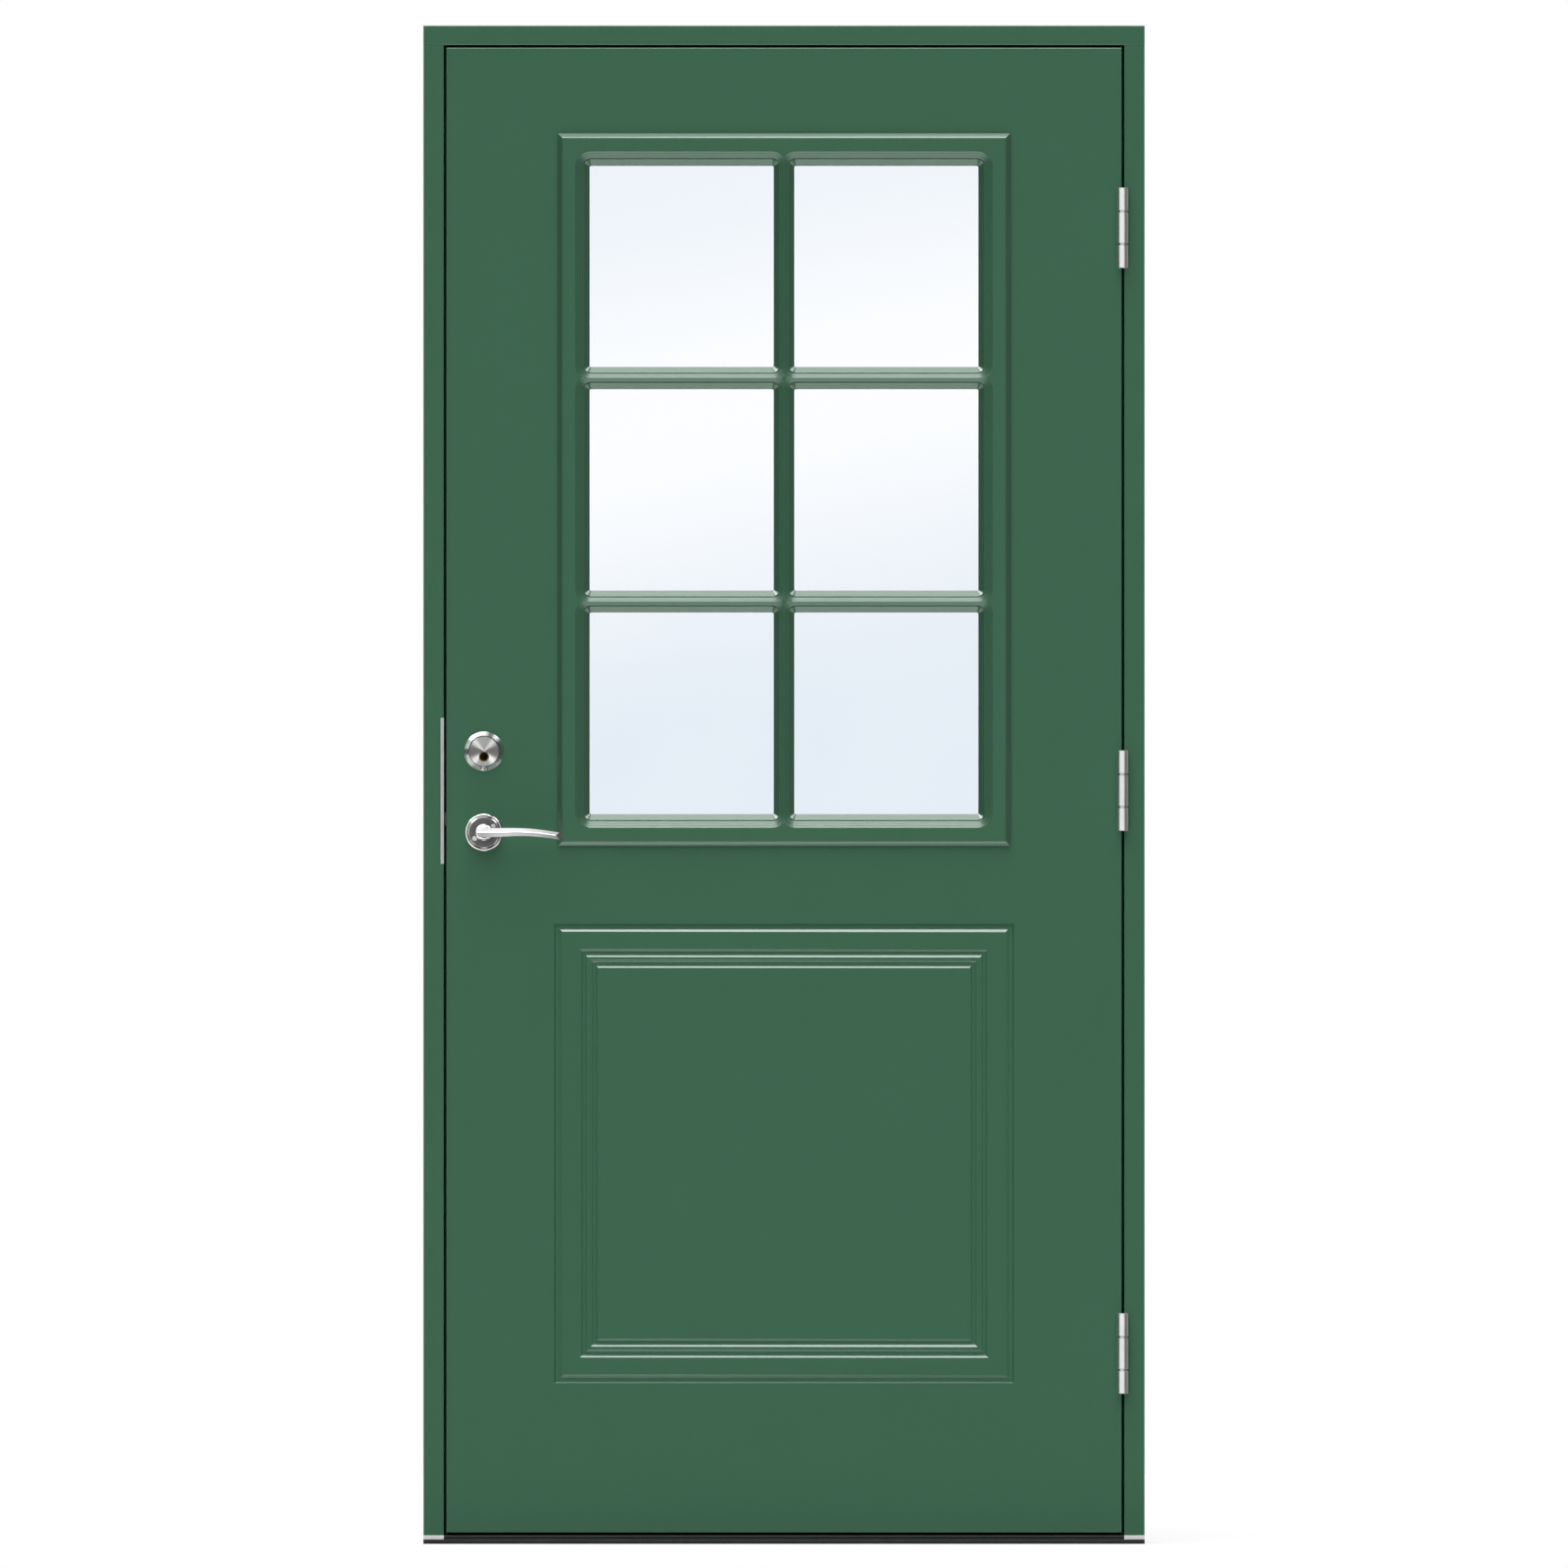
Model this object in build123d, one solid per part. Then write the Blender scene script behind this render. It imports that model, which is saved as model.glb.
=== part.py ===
from build123d import *
import os
from math import atan2, cos, degrees, hypot, radians, sin, tan

# A front door that opens outwards, closed in its frame.
# +X is to the right seen from outside, +Y goes into the house and +Z is up.
# The outside face of frame and leaf is at y = 0, and the floor is at z = 0.

# Frame
FRAME_WIDTH = 988.0
FRAME_HEIGHT = 2080.0
FRAME_DEPTH = 105.0
JAMB_FACE = 28.0
HEAD_FACE = 27.0
STOP_STEP = 14.0
FRAME_EASE = 1.5

# Threshold, and the packers that lift the jambs off its base
BASE_HEIGHT = 6.2
BASE_NOSE = 6.0
BASE_EASE = 1.2
RAIL_HEIGHT = 5.4
RAIL_EASE = 1.2
UPSTAND_HEIGHT = 19.8
RAIL_WALL = 3.0
PACKER_HEIGHT = 5.5

# Leaf
LEAF_THICK = 62.0
LEAF_SIDE_GAP = 3.5
LEAF_TOP_GAP = 3.5
LEAF_BOTTOM_GAP = 3.9
LEAF_EASE = 1.5
SKIN = 9.0
LOCK_STILE = 100.0
HINGE_STILE = 60.0
TOP_RAIL = 80.0
BOTTOM_RAIL = 120.0

# Seals between the stops and the back of the leaf
SEAL_GAP = 6.0
SEAL_INSET = 8.5
SEAL_ROOT_WIDTH = 3.0
SEAL_ROOT_DEPTH = 6.0
SEAL_BULB_WIDTH = 9.0
SEAL_WALL = 1.3
SEAL_PLAY = 0.2
SEAL_CLEAR = 0.3

# Panel milled into the lower part of each skin
PANEL_SIDE = 147.75
PANEL_HEIGHT = 629.5
PANEL_BOTTOM = 220.0
PANEL_BAND = 20.4
GROOVE_DEPTH = 3.4
LIP_SLOPE = 10.0
EDGE_WALL = 1.9
EDGE_FLOOR = 4.8
EDGE_ROUND = 6.7
GROOVE_ROUND = 5.2
GROOVE_FLOOR = 3.2
BEAD_WIDTH = 1.0
BEAD_DROP = 0.5

# Glazing: lights in columns and rows, in a moulded cassette on each side
PANE_COLUMNS = 2
PANE_ROWS = 3
PANE_CORNER = 2.5
MULLION = 28.2
TRANSOM = 29.8
CASSETTE_SIDE = 152.5
CASSETTE_TOP_DROP = 117.4
CASSETTE_BOTTOM = 956.0
CASSETTE_BORDER = 43.5
CASSETTE_PROUD = 9.0
CASSETTE_EDGE_BEVEL = 3.2
CASSETTE_EDGE_DROP = 3.4
CASSETTE_FACE_BEVEL = 3.4
CASSETTE_FACE_DROP = 2.0
CASSETTE_LAP = 20.0
SPIGOT_PLAY = 1.0
SIGHT_BEVEL = 8.0
SIGHT_BEVEL_DROP = 5.5
QUIRK_WIDTH = 1.2
QUIRK_DROP = 1.8
QUIRK_SLOPE = 0.5
REED_COUNT = 3
REED_WIDTH = 3.1
REED_FALL = 0.9
REED_RISER = 0.8
REED_RISER_SLOPE = 0.4
GLASS = 4.0
GLASS_SPACE = 14.0
GLASS_PLAY = 5.0
SPACER_WIDTH = 7.0
SPACER_INSET = 4.0
GASKET = 2.0
GASKET_WIDTH = 12.0

# Hinges
HINGE_HEIGHT = 110.0
HINGE_BOTTOM_RISE = 245.3
HINGE_TOP_DROP = 247.1
HINGE_NAMES = ("bottom", "middle", "top")
HINGE_OUT = 8.0
KNUCKLE_RADIUS = 7.4
KNUCKLE_END = 31.3
KNUCKLE_GAP = 2.5
KNUCKLE_EASE = 0.6
PIN_RADIUS = 4.5
PIN_PLAY = 0.05
WASHER_RADIUS = 6.2
WASHER_PLAY = 0.05
HINGE_PLATE = 3.0
HINGE_PLATE_DEPTH = 34.0
HINGE_PLATE_CORNER = 6.0
HINGE_SCREW_NEAR = 13.5
HINGE_SCREW_FAR = 25.0
HINGE_SCREW_INNER = 17.0
HINGE_SCREW_OUTER = 44.0

# Countersunk screws, and the fixing sleeves of the frame
SCREW_HEAD = 4.4
SCREW_SHANK = 2.4
SCREW_LENGTH = 24.0
SCREW_CLEAR = 0.1
LONG_SCREW_LENGTH = 68.0
CORNER_SCREW_INSET = 14.0
CORNER_SCREW_FRONT = 25.0
CORNER_SCREW_BACK = 82.0
CORNER_SCREW_SINK = 0.5
CASSETTE_SCREW_INSET = 12.0
CASSETTE_SCREW_ROWS = 4
CASSETTE_SCREW_END = 60.0
CASSETTE_SCREW_HOLD = 5.0
SLEEVE_RADIUS = 10.0
SLEEVE_BORE = 4.2
SLEEVE_SOCKET = 6.5
SLEEVE_SOCKET_DEPTH = 12.0
SLEEVE_Y = 40.0
SLEEVE_LOW_Z = 130.0
SLEEVE_TOP_DROP = 140.0
SLEEVE_MID_SPACING = 700.0
SLEEVE_PLAY = 0.05

# Lock: latch and deadbolt driven by cranks on the lever's and the key's axes
BACKSET = 51.5
HANDLE_Z = 974.5
CYLINDER_RISE = 111.2
KEY_DROP = 7.4
CASE_THICK = 18.0
CASE_WALL = 1.5
CASE_DEPTH = 80.0
CASE_BELOW = 30.0
CASE_ABOVE = 40.0
CASE_PLAY = 0.5
FOREND = 3.0
FOREND_WIDTH = 24.0
FOREND_HEIGHT = 235.0
FOREND_SCREW_END = 10.0
BAR = 8.0
BAR_PLAY = 0.3
BOLT_TAIL = 5.0
CRANK_WEB = 2.4
CRANK_PIN = 2.5
CRANK_PLAY = 0.7
CRANK_RIM = 2.0
LATCH_THROW = 12.0
LATCH_HEIGHT = 18.0
LATCH_BASE = 9.5
LATCH_NOSE = 3.0
HANDLE_TURN = 45.0
DEADBOLT_THROW = 20.0
DEADBOLT_HEIGHT = 20.0
DEADBOLT_BASE = 8.0
THUMB_TURN = 90.0
FOLLOWER_RADIUS = 8.0
CAM_RADIUS = 6.6
JOURNAL_PLAY = 0.2
STRIKE = 4.4
STRIKE_DEPTH = 52.0
STRIKE_HEIGHT = 200.0
STRIKE_CORNER = 8.0
STRIKE_SCREW_END = 14.0
KEEP_MARGIN = 2.0
KEEP_DEPTH = 20.0

# Levers, roses and spindles
SPINDLE = 8.0
SPINDLE_PLAY = 0.1
SPINDLE_END = 8.0
ROSE_RADIUS = 25.9
ROSE = 8.0
ROSE_EASE = 2.4
ROSE_LINE = 0.6
ROSE_LINE_DEPTH = 0.5
ROSE_LIP = 0.4
ROSE_BEVEL = 2.0
ROSE_RECESS = 1.6
ROSE_BORE = 9.3
ROSE_SCREW_CIRCLE = 15.0
ROSE_SCREW_ANGLE = 33.0
ROSE_SCREW_HEAD = 3.4
ROSE_SCREW_SHANK = 1.9
ROSE_SCREW_LENGTH = 20.0
NECK_JOURNAL = 9.0
NECK_SEAT = 5.0
NECK_COLLAR = 12.4
NECK_COLLAR_THICK = 2.6
NECK_WAIST = 7.6
NECK_END = 6.6
NECK_REACH = 46.0
NECK_CLEAR = 0.3
LEVER_LENGTH = 108.5
LEVER_SLANT = 9.5
# Along the lever, its centre's height, half height and half depth, as shares of its length
LEVER_SECTION_SHARES = (
    (0.00, 0.000, 0.066, 0.060),
    (0.26, 0.002, 0.061, 0.052),
    (0.52, 0.003, 0.055, 0.048),
    (0.77, -0.018, 0.052, 0.046),
    (1.00, -0.052, 0.050, 0.044),
)
# The lever's rounded inner end past the axis, and the rounding of its lozenge section
LEVER_BACK = 9.0
LEVER_ROUND_SHARE = 0.18

# Cylinder outside, thumb turn inside
RING_RADIUS = 27.2
RING_BORE = 20.7
RING = 7.4
RING_FOOT = 1.2
RING_FLAT = 0.7
GUARD_PLAY = 0.3
GUARD_RIM = 6.7
GUARD_DISH = 1.0
GUARD_BACK = 3.2
KEYHOLE_RADIUS = 6.9
CYLINDER_BARREL = 13.5
CYLINDER_PLAY = 0.3
PLUG_RADIUS = 6.3
PLUG_PLAY = 0.05
PLUG_FACE = 3.8
PLUG_EASE = 0.5
KEYWAY_WIDTH = 2.0
KEYWAY_HEIGHT = 9.0
KEYWAY_DEPTH = 16.0
TAIL = 7.0
TAIL_MEET = 1.0
THUMB_STEM = 8.0
THUMB_GRIP_LENGTH = 34.0
THUMB_GRIP_THICK = 9.0
THUMB_REACH = 30.0
THUMB_BASE = 14.0

# One overrun for every cut
OVERRUN = 2.0

# Places worked out from the sizes above
REBATE_X = FRAME_WIDTH / 2 - JAMB_FACE
STOP_X = REBATE_X - STOP_STEP
LEAF_X = REBATE_X - LEAF_SIDE_GAP
HEAD_Z = FRAME_HEIGHT - HEAD_FACE
STOP_Z = HEAD_Z - STOP_STEP
STOP_Y = LEAF_THICK + SEAL_GAP
RAIL_TOP = BASE_HEIGHT + RAIL_HEIGHT
UPSTAND_TOP = BASE_HEIGHT + UPSTAND_HEIGHT
JAMB_BOTTOM = BASE_HEIGHT + PACKER_HEIGHT
LEAF_TOP = HEAD_Z - LEAF_TOP_GAP
LEAF_BOTTOM = RAIL_TOP + LEAF_BOTTOM_GAP
MID_Y = LEAF_THICK / 2
CORE_BACK = LEAF_THICK - SKIN
MIRROR = Plane.XZ.offset(-MID_Y)
PANEL_WIDTH = 2 * (LEAF_X - PANEL_SIDE)
CASSETTE_WIDTH = 2 * (LEAF_X - CASSETTE_SIDE)
CASSETTE_HEIGHT = LEAF_TOP - CASSETTE_TOP_DROP - CASSETTE_BOTTOM
CASSETTE_Z = CASSETTE_BOTTOM + CASSETTE_HEIGHT / 2
PANE_WIDTH = (CASSETTE_WIDTH - 2 * CASSETTE_BORDER - (PANE_COLUMNS - 1) * MULLION) / PANE_COLUMNS
PANE_HEIGHT = (CASSETTE_HEIGHT - 2 * CASSETTE_BORDER - (PANE_ROWS - 1) * TRANSOM) / PANE_ROWS
APERTURE_WIDTH = CASSETTE_WIDTH - 2 * CASSETTE_LAP
APERTURE_HEIGHT = CASSETTE_HEIGHT - 2 * CASSETTE_LAP
UNIT_WIDTH = APERTURE_WIDTH - 2 * GLASS_PLAY
UNIT_HEIGHT = APERTURE_HEIGHT - 2 * GLASS_PLAY
UNIT_FRONT = MID_Y - GLASS_SPACE - 1.5 * GLASS
HINGE_X = LEAF_X + LEAF_SIDE_GAP / 2
LOCK_X = BACKSET - LEAF_X
CYLINDER_Z = HANDLE_Z + CYLINDER_RISE
KEY_Z = CYLINDER_Z - KEY_DROP
CASE_BOTTOM = HANDLE_Z - CASE_BELOW
CASE_TOP = KEY_Z + CASE_ABOVE
LOCK_Z = (CASE_BOTTOM + CASE_TOP) / 2
CASE_FRONT = MID_Y - CASE_THICK / 2
CASE_BACK = MID_Y + CASE_THICK / 2
FOREND_BACK = FOREND - LEAF_X
HANDLE_CRANK = LATCH_THROW / sin(radians(HANDLE_TURN))
THUMB_CRANK = DEADBOLT_THROW / (2 * sin(radians(THUMB_TURN / 2)))


def block(x0, x1, y0, y1, z0, z1):
    """A box between two corners."""
    return Pos((x0 + x1) / 2, (y0 + y1) / 2, (z0 + z1) / 2) * Box(x1 - x0, y1 - y0, z1 - z0)


def along_z(points, z0, z1):
    """A section drawn in x and y, run upwards."""
    return Pos(0, 0, z0) * extrude(make_face(Polyline(*points, close=True)), amount=z1 - z0)


def along_x(points, x0, x1):
    """A section drawn in y and z, run to the right."""
    face = make_face(Polyline(*points, close=True))
    return extrude(Plane.YZ.offset(x0) * face, amount=x1 - x0)


def rod(radius, start, direction, length):
    """A round bar from a point along a direction."""
    return extrude(Plane(origin=start, z_dir=direction) * Circle(radius), amount=length)


def turned(points, x, z):
    """A solid turned about an axis along Y, from (radius, y) points."""
    return Pos(x, 0, z) * revolve(make_face(Polyline(*points, close=True)), axis=Axis.Y)


def facing(x, y, z, outward):
    """A plane square to Y, facing out of the house or into it, with its x along X."""
    return Plane(origin=(x, y, z), x_dir=(1, 0, 0), z_dir=(0, -1 if outward else 1, 0))


def screw(start, direction, length, head=SCREW_HEAD, shank=SCREW_SHANK, grow=0, lead=0):
    """A countersunk screw driven from its head's face, or its hole when grown."""
    outline = [
        (0, 0, -lead),
        (head + grow, 0, -lead),
        (head + grow, 0, 0),
        (shank + grow, 0, head - shank),
        (shank + grow, 0, length + grow),
        (0, 0, length + grow),
    ]
    if not lead:
        outline.pop(0)
        outline[0] = (0, 0, 0)
    body = revolve(make_face(Polyline(*outline, close=True)), axis=Axis.Z)
    return Plane(origin=start, z_dir=direction) * body


def screws_and_holes(places):
    """The screws at a list of (start, direction, sizes), and the cutter for their holes."""
    screws = [screw(start, way, **sizes) for start, way, sizes in places]
    holes = [screw(start, way, grow=SCREW_CLEAR, lead=OVERRUN, **sizes) for start, way, sizes in places]
    return screws, holes


def square_bar(width, x, z, y0, y1):
    """A square bar along Y."""
    half = width / 2
    return block(x - half, x + half, y0, y1, z - half, z + half)


def corner_screw_places():
    """Screws down through the head and up through the threshold into the jambs' ends."""
    places = []
    for x in (CORNER_SCREW_INSET - FRAME_WIDTH / 2, FRAME_WIDTH / 2 - CORNER_SCREW_INSET):
        for y in (CORNER_SCREW_FRONT, CORNER_SCREW_BACK):
            top = (x, y, FRAME_HEIGHT - CORNER_SCREW_SINK)
            foot = (x, y, CORNER_SCREW_SINK)
            places.append((top, (0, 0, -1), {"length": LONG_SCREW_LENGTH}))
            places.append((foot, (0, 0, 1), {"length": LONG_SCREW_LENGTH}))
    return places


def sleeve_places():
    """Heights of the fixing sleeves in each jamb: one at each end, and a pair about the middle."""
    top = FRAME_HEIGHT - SLEEVE_TOP_DROP
    middle = (SLEEVE_LOW_Z + top) / 2
    return SLEEVE_LOW_Z, middle - SLEEVE_MID_SPACING / 2, middle + SLEEVE_MID_SPACING / 2, top


def hinge_heights():
    """The middle of each hinge, by name, spread evenly from the lowest to the highest."""
    low, high = LEAF_BOTTOM + HINGE_BOTTOM_RISE, LEAF_TOP - HINGE_TOP_DROP
    step = (high - low) / (len(HINGE_NAMES) - 1)
    return {name: low + i * step for i, name in enumerate(HINGE_NAMES)}


def hinge_screw_places(side):
    """Screws of all hinge plates: side 1 for the frame's, -1 for the leaf's."""
    x = REBATE_X if side > 0 else LEAF_X
    pattern = (
        (HINGE_SCREW_NEAR, HINGE_SCREW_OUTER),
        (HINGE_SCREW_FAR, HINGE_SCREW_INNER),
        (HINGE_SCREW_FAR, -HINGE_SCREW_INNER),
        (HINGE_SCREW_NEAR, -HINGE_SCREW_OUTER),
    )
    return [
        ((x, y, z + dz), (side, 0, 0), {"length": SCREW_LENGTH})
        for z in hinge_heights().values()
        for y, dz in pattern
    ]


def strike_screw_places():
    """Two screws through the strike plate into the lock jamb."""
    reach = STRIKE_HEIGHT / 2 - STRIKE_SCREW_END
    return [
        ((-REBATE_X, MID_Y, LOCK_Z + dz), (-1, 0, 0), {"length": SCREW_LENGTH})
        for dz in (reach, -reach)
    ]


def forend_screw_places():
    """Two screws through the forend into the lock stile."""
    reach = FOREND_HEIGHT / 2 - FOREND_SCREW_END
    return [
        ((-LEAF_X, MID_Y, LOCK_Z + dz), (1, 0, 0), {"length": SCREW_LENGTH})
        for dz in (reach, -reach)
    ]


def cassette_screw_places():
    """Screws from the inner cassette's flange, through the leaf, into the outer cassette."""
    length = LEAF_THICK + CASSETTE_PROUD + CASSETTE_SCREW_HOLD
    half_width = CASSETTE_WIDTH / 2 - CASSETTE_SCREW_INSET
    half_height = CASSETTE_HEIGHT / 2 - CASSETTE_SCREW_END
    step = 2 * half_height / (CASSETTE_SCREW_ROWS - 1)
    y = LEAF_THICK + CASSETTE_PROUD
    return [
        ((x, y, CASSETTE_Z - half_height + i * step), (0, -1, 0), {"length": length})
        for x in (-half_width, half_width)
        for i in range(CASSETTE_SCREW_ROWS)
    ]


def rose_screw_places():
    """Two screws in each handle rose, on a slant across the lever's axis."""
    sizes = {"length": ROSE_SCREW_LENGTH, "head": ROSE_SCREW_HEAD, "shank": ROSE_SCREW_SHANK}
    dx = ROSE_SCREW_CIRCLE * cos(radians(ROSE_SCREW_ANGLE))
    dz = ROSE_SCREW_CIRCLE * sin(radians(ROSE_SCREW_ANGLE))
    face = ROSE - ROSE_RECESS
    places = []
    for turn in (1, -1):
        x, z = LOCK_X + turn * dx, HANDLE_Z + turn * dz
        places.append(((x, -face, z), (0, 1, 0), sizes))
        places.append(((x, LEAF_THICK + face, z), (0, -1, 0), sizes))
    return places


# Frame pieces


def seal_slot():
    """Width and depth of the groove that takes a seal's root."""
    return SEAL_ROOT_WIDTH + 2 * SEAL_PLAY, SEAL_ROOT_DEPTH + SEAL_PLAY


def frame_section(inward):
    """Section of jamb or head: face, rebate, stop and seal groove.

    Points are (distance in from the frame's outer edge, y), and inward is the face's width.
    """
    width, depth = seal_slot()
    middle = inward + SEAL_INSET
    return [
        (0, 0),
        (inward, 0),
        (inward, STOP_Y),
        (middle - width / 2, STOP_Y),
        (middle - width / 2, STOP_Y + depth),
        (middle + width / 2, STOP_Y + depth),
        (middle + width / 2, STOP_Y),
        (inward + STOP_STEP, STOP_Y),
        (inward + STOP_STEP, FRAME_DEPTH),
        (0, FRAME_DEPTH),
    ]


def jamb(side):
    """A jamb that stands on its packer and meets the head: side -1 is the lock's."""
    edge = side * FRAME_WIDTH / 2
    body = along_z([(edge - side * u, y) for u, y in frame_section(JAMB_FACE)], JAMB_BOTTOM, HEAD_Z)
    front = body.edges().filter_by(Axis.Z).filter_by_position(Axis.Y, 0, 0)
    body = fillet(front, FRAME_EASE)
    for z in sleeve_places():
        start = (edge + side * OVERRUN, SLEEVE_Y, z)
        body -= rod(SLEEVE_RADIUS + SLEEVE_PLAY, start, (-side, 0, 0), JAMB_FACE + 2 * OVERRUN)
    return body


def head():
    """The head lies over both jambs, and its stop fits between theirs."""
    section = [(y, FRAME_HEIGHT - u) for u, y in frame_section(HEAD_FACE)]
    body = along_x(section, -FRAME_WIDTH / 2, FRAME_WIDTH / 2)
    for side in (-1, 1):
        x0, x1 = sorted((side * STOP_X, side * (FRAME_WIDTH / 2 + OVERRUN)))
        body -= block(x0, x1, -OVERRUN, FRAME_DEPTH + OVERRUN, STOP_Z - OVERRUN, HEAD_Z)
    front = body.edges().filter_by(Axis.X).filter_by_position(Axis.Y, 0, 0)
    return fillet(front, FRAME_EASE)


def threshold_base():
    """Flat base under the whole frame, with an eased nose outside."""
    half = FRAME_WIDTH / 2
    body = block(-half, half, -BASE_NOSE, FRAME_DEPTH, 0, BASE_HEIGHT)
    nose = body.edges().filter_by(Axis.X).sort_by(Axis.Y)[:2].sort_by(Axis.Z)[-1]
    return fillet(nose, BASE_EASE)


def threshold_rail():
    """Hollow rail between the jambs, with an upstand that the leaf closes against."""
    tread = block(-REBATE_X, REBATE_X, 0, FRAME_DEPTH, BASE_HEIGHT, RAIL_TOP)
    nose = tread.edges().filter_by(Axis.X).sort_by(Axis.Y)[:2].sort_by(Axis.Z)[-1]
    tread = fillet(nose, RAIL_EASE)
    upstand = block(-STOP_X, STOP_X, STOP_Y, FRAME_DEPTH, BASE_HEIGHT, UPSTAND_TOP)
    width, depth = seal_slot()
    middle = threshold_seal_z()
    slot = block(-STOP_X, STOP_X, STOP_Y - OVERRUN, STOP_Y + depth, middle - width / 2, middle + width / 2)
    hollow = block(
        -STOP_X,
        STOP_X,
        STOP_Y + depth + RAIL_WALL,
        FRAME_DEPTH - RAIL_WALL,
        RAIL_TOP,
        UPSTAND_TOP - RAIL_WALL,
    )
    return tread + upstand - slot - hollow


def threshold_seal_z():
    """Height of the threshold seal, centred on the part of the upstand behind the leaf."""
    return (LEAF_BOTTOM + UPSTAND_TOP) / 2 - SEAL_WALL


def packers():
    """The packers under the two jambs."""
    half = FRAME_WIDTH / 2
    return [
        block(-half, -REBATE_X, 0, FRAME_DEPTH, BASE_HEIGHT, JAMB_BOTTOM),
        block(REBATE_X, half, 0, FRAME_DEPTH, BASE_HEIGHT, JAMB_BOTTOM),
    ]


def seal_section():
    """Hollow bulb with a root, as a face: x across the seal, y from the stop towards the leaf."""
    half = SEAL_BULB_WIDTH / 2
    height = SEAL_GAP - SEAL_CLEAR
    dome = ThreePointArc((half, 0), (0, height), (-half, 0))
    bulb = make_face([dome, Line((-half, 0), (half, 0))])
    inner = half - SEAL_WALL
    arch = ThreePointArc((inner, SEAL_WALL), (0, height - SEAL_WALL), (-inner, SEAL_WALL))
    bulb -= make_face([arch, Line((-inner, SEAL_WALL), (inner, SEAL_WALL))])
    root = Pos(0, -SEAL_ROOT_DEPTH / 2) * Rectangle(SEAL_ROOT_WIDTH, SEAL_ROOT_DEPTH)
    return bulb + root


def seal(start, along, length):
    """A length of seal on a stop's front face, from a point on that face."""
    across = Plane(origin=start, x_dir=Vector(0, -1, 0).cross(Vector(along)), z_dir=along)
    return extrude(across * seal_section(), amount=length)


def side_seal(side):
    """The seal of one jamb."""
    start = (side * (REBATE_X - SEAL_INSET), STOP_Y, JAMB_BOTTOM)
    return seal(start, (0, 0, 1), HEAD_Z - JAMB_BOTTOM)


def sleeves():
    """Threaded sleeves through both jambs, each with a bore for a fixing and a socket to turn it."""
    pieces = []
    for side in (-1, 1):
        outer = side * FRAME_WIDTH / 2
        inner = side * REBATE_X
        for z in sleeve_places():
            body = rod(SLEEVE_RADIUS, (outer, SLEEVE_Y, z), (-side, 0, 0), JAMB_FACE)
            start = (outer + side * OVERRUN, SLEEVE_Y, z)
            body -= rod(SLEEVE_BORE, start, (-side, 0, 0), JAMB_FACE + 2 * OVERRUN)
            mouth = Plane(origin=(inner, SLEEVE_Y, z), z_dir=(side, 0, 0))
            body -= extrude(mouth * RegularPolygon(SLEEVE_SOCKET, 6), amount=SLEEVE_SOCKET_DEPTH)
            pieces.append(body)
    return pieces


# Hinges


def knuckle(z0, z1):
    """One knuckle of a hinge, bored for its pin."""
    body = rod(KNUCKLE_RADIUS, (HINGE_X, -HINGE_OUT, z0), (0, 0, 1), z1 - z0)
    body = chamfer(body.edges().filter_by(GeomType.CIRCLE), KNUCKLE_EASE)
    bore = rod(PIN_RADIUS + PIN_PLAY, (HINGE_X, -HINGE_OUT, z0 - OVERRUN), (0, 0, 1), z1 - z0 + 2 * OVERRUN)
    return body, bore


def plate_outline(z):
    """A hinge plate's outline in y and z, rounded at the back."""
    face = Pos(HINGE_PLATE_DEPTH / 2, z) * Rectangle(HINGE_PLATE_DEPTH, HINGE_HEIGHT)
    back = face.vertices().sort_by(Axis.X)[-2:]
    return fillet(back, HINGE_PLATE_CORNER)


def plate_x(side):
    """Where a hinge plate's hidden face lies: side 1 for the frame's, -1 for the leaf's."""
    return REBATE_X if side > 0 else LEAF_X - HINGE_PLATE


def hinge_pocket(side, z):
    """The pocket that lets a plate in flush."""
    face = Plane.YZ.offset(plate_x(side)) * plate_outline(z)
    pocket = extrude(face, amount=HINGE_PLATE)
    x0 = plate_x(side)
    mouth = block(
        x0, x0 + HINGE_PLATE, -OVERRUN, HINGE_PLATE_CORNER, z - HINGE_HEIGHT / 2, z + HINGE_HEIGHT / 2
    )
    return pocket + mouth


def hinge_plate(side, z, holes):
    """A hinge half: the frame's has the outer knuckles, the leaf's the middle one."""
    half = HINGE_HEIGHT / 2
    inner = half - KNUCKLE_END - KNUCKLE_GAP
    spans = [(half - KNUCKLE_END, half), (-half, KNUCKLE_END - half)] if side > 0 else [(-inner, inner)]
    x0 = plate_x(side)
    body = extrude(Plane.YZ.offset(x0) * plate_outline(z), amount=HINGE_PLATE)
    for low, high in spans:
        barrel, bore = knuckle(z + low, z + high)
        tongue = block(x0, x0 + HINGE_PLATE, -HINGE_OUT, OVERRUN, z + low, z + high)
        body = body + tongue + barrel - bore
    for hole in holes:
        body -= hole
    return body


def hinge_pin(z):
    """Pin through all three knuckles."""
    body = rod(PIN_RADIUS, (HINGE_X, -HINGE_OUT, z - HINGE_HEIGHT / 2), (0, 0, 1), HINGE_HEIGHT)
    return chamfer(body.edges().filter_by(GeomType.CIRCLE), KNUCKLE_EASE)


def hinge_washers(z):
    """The two washers between the knuckles of one hinge."""
    thick = KNUCKLE_GAP - 2 * WASHER_PLAY
    inner = HINGE_HEIGHT / 2 - KNUCKLE_END - KNUCKLE_GAP
    pieces = []
    for z0 in (z + inner + WASHER_PLAY, z - inner - WASHER_PLAY - thick):
        ring = rod(WASHER_RADIUS, (HINGE_X, -HINGE_OUT, z0), (0, 0, 1), thick)
        ring -= rod(PIN_RADIUS + PIN_PLAY, (HINGE_X, -HINGE_OUT, z0), (0, 0, 1), thick)
        pieces.append(ring)
    return pieces


# Leaf


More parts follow.
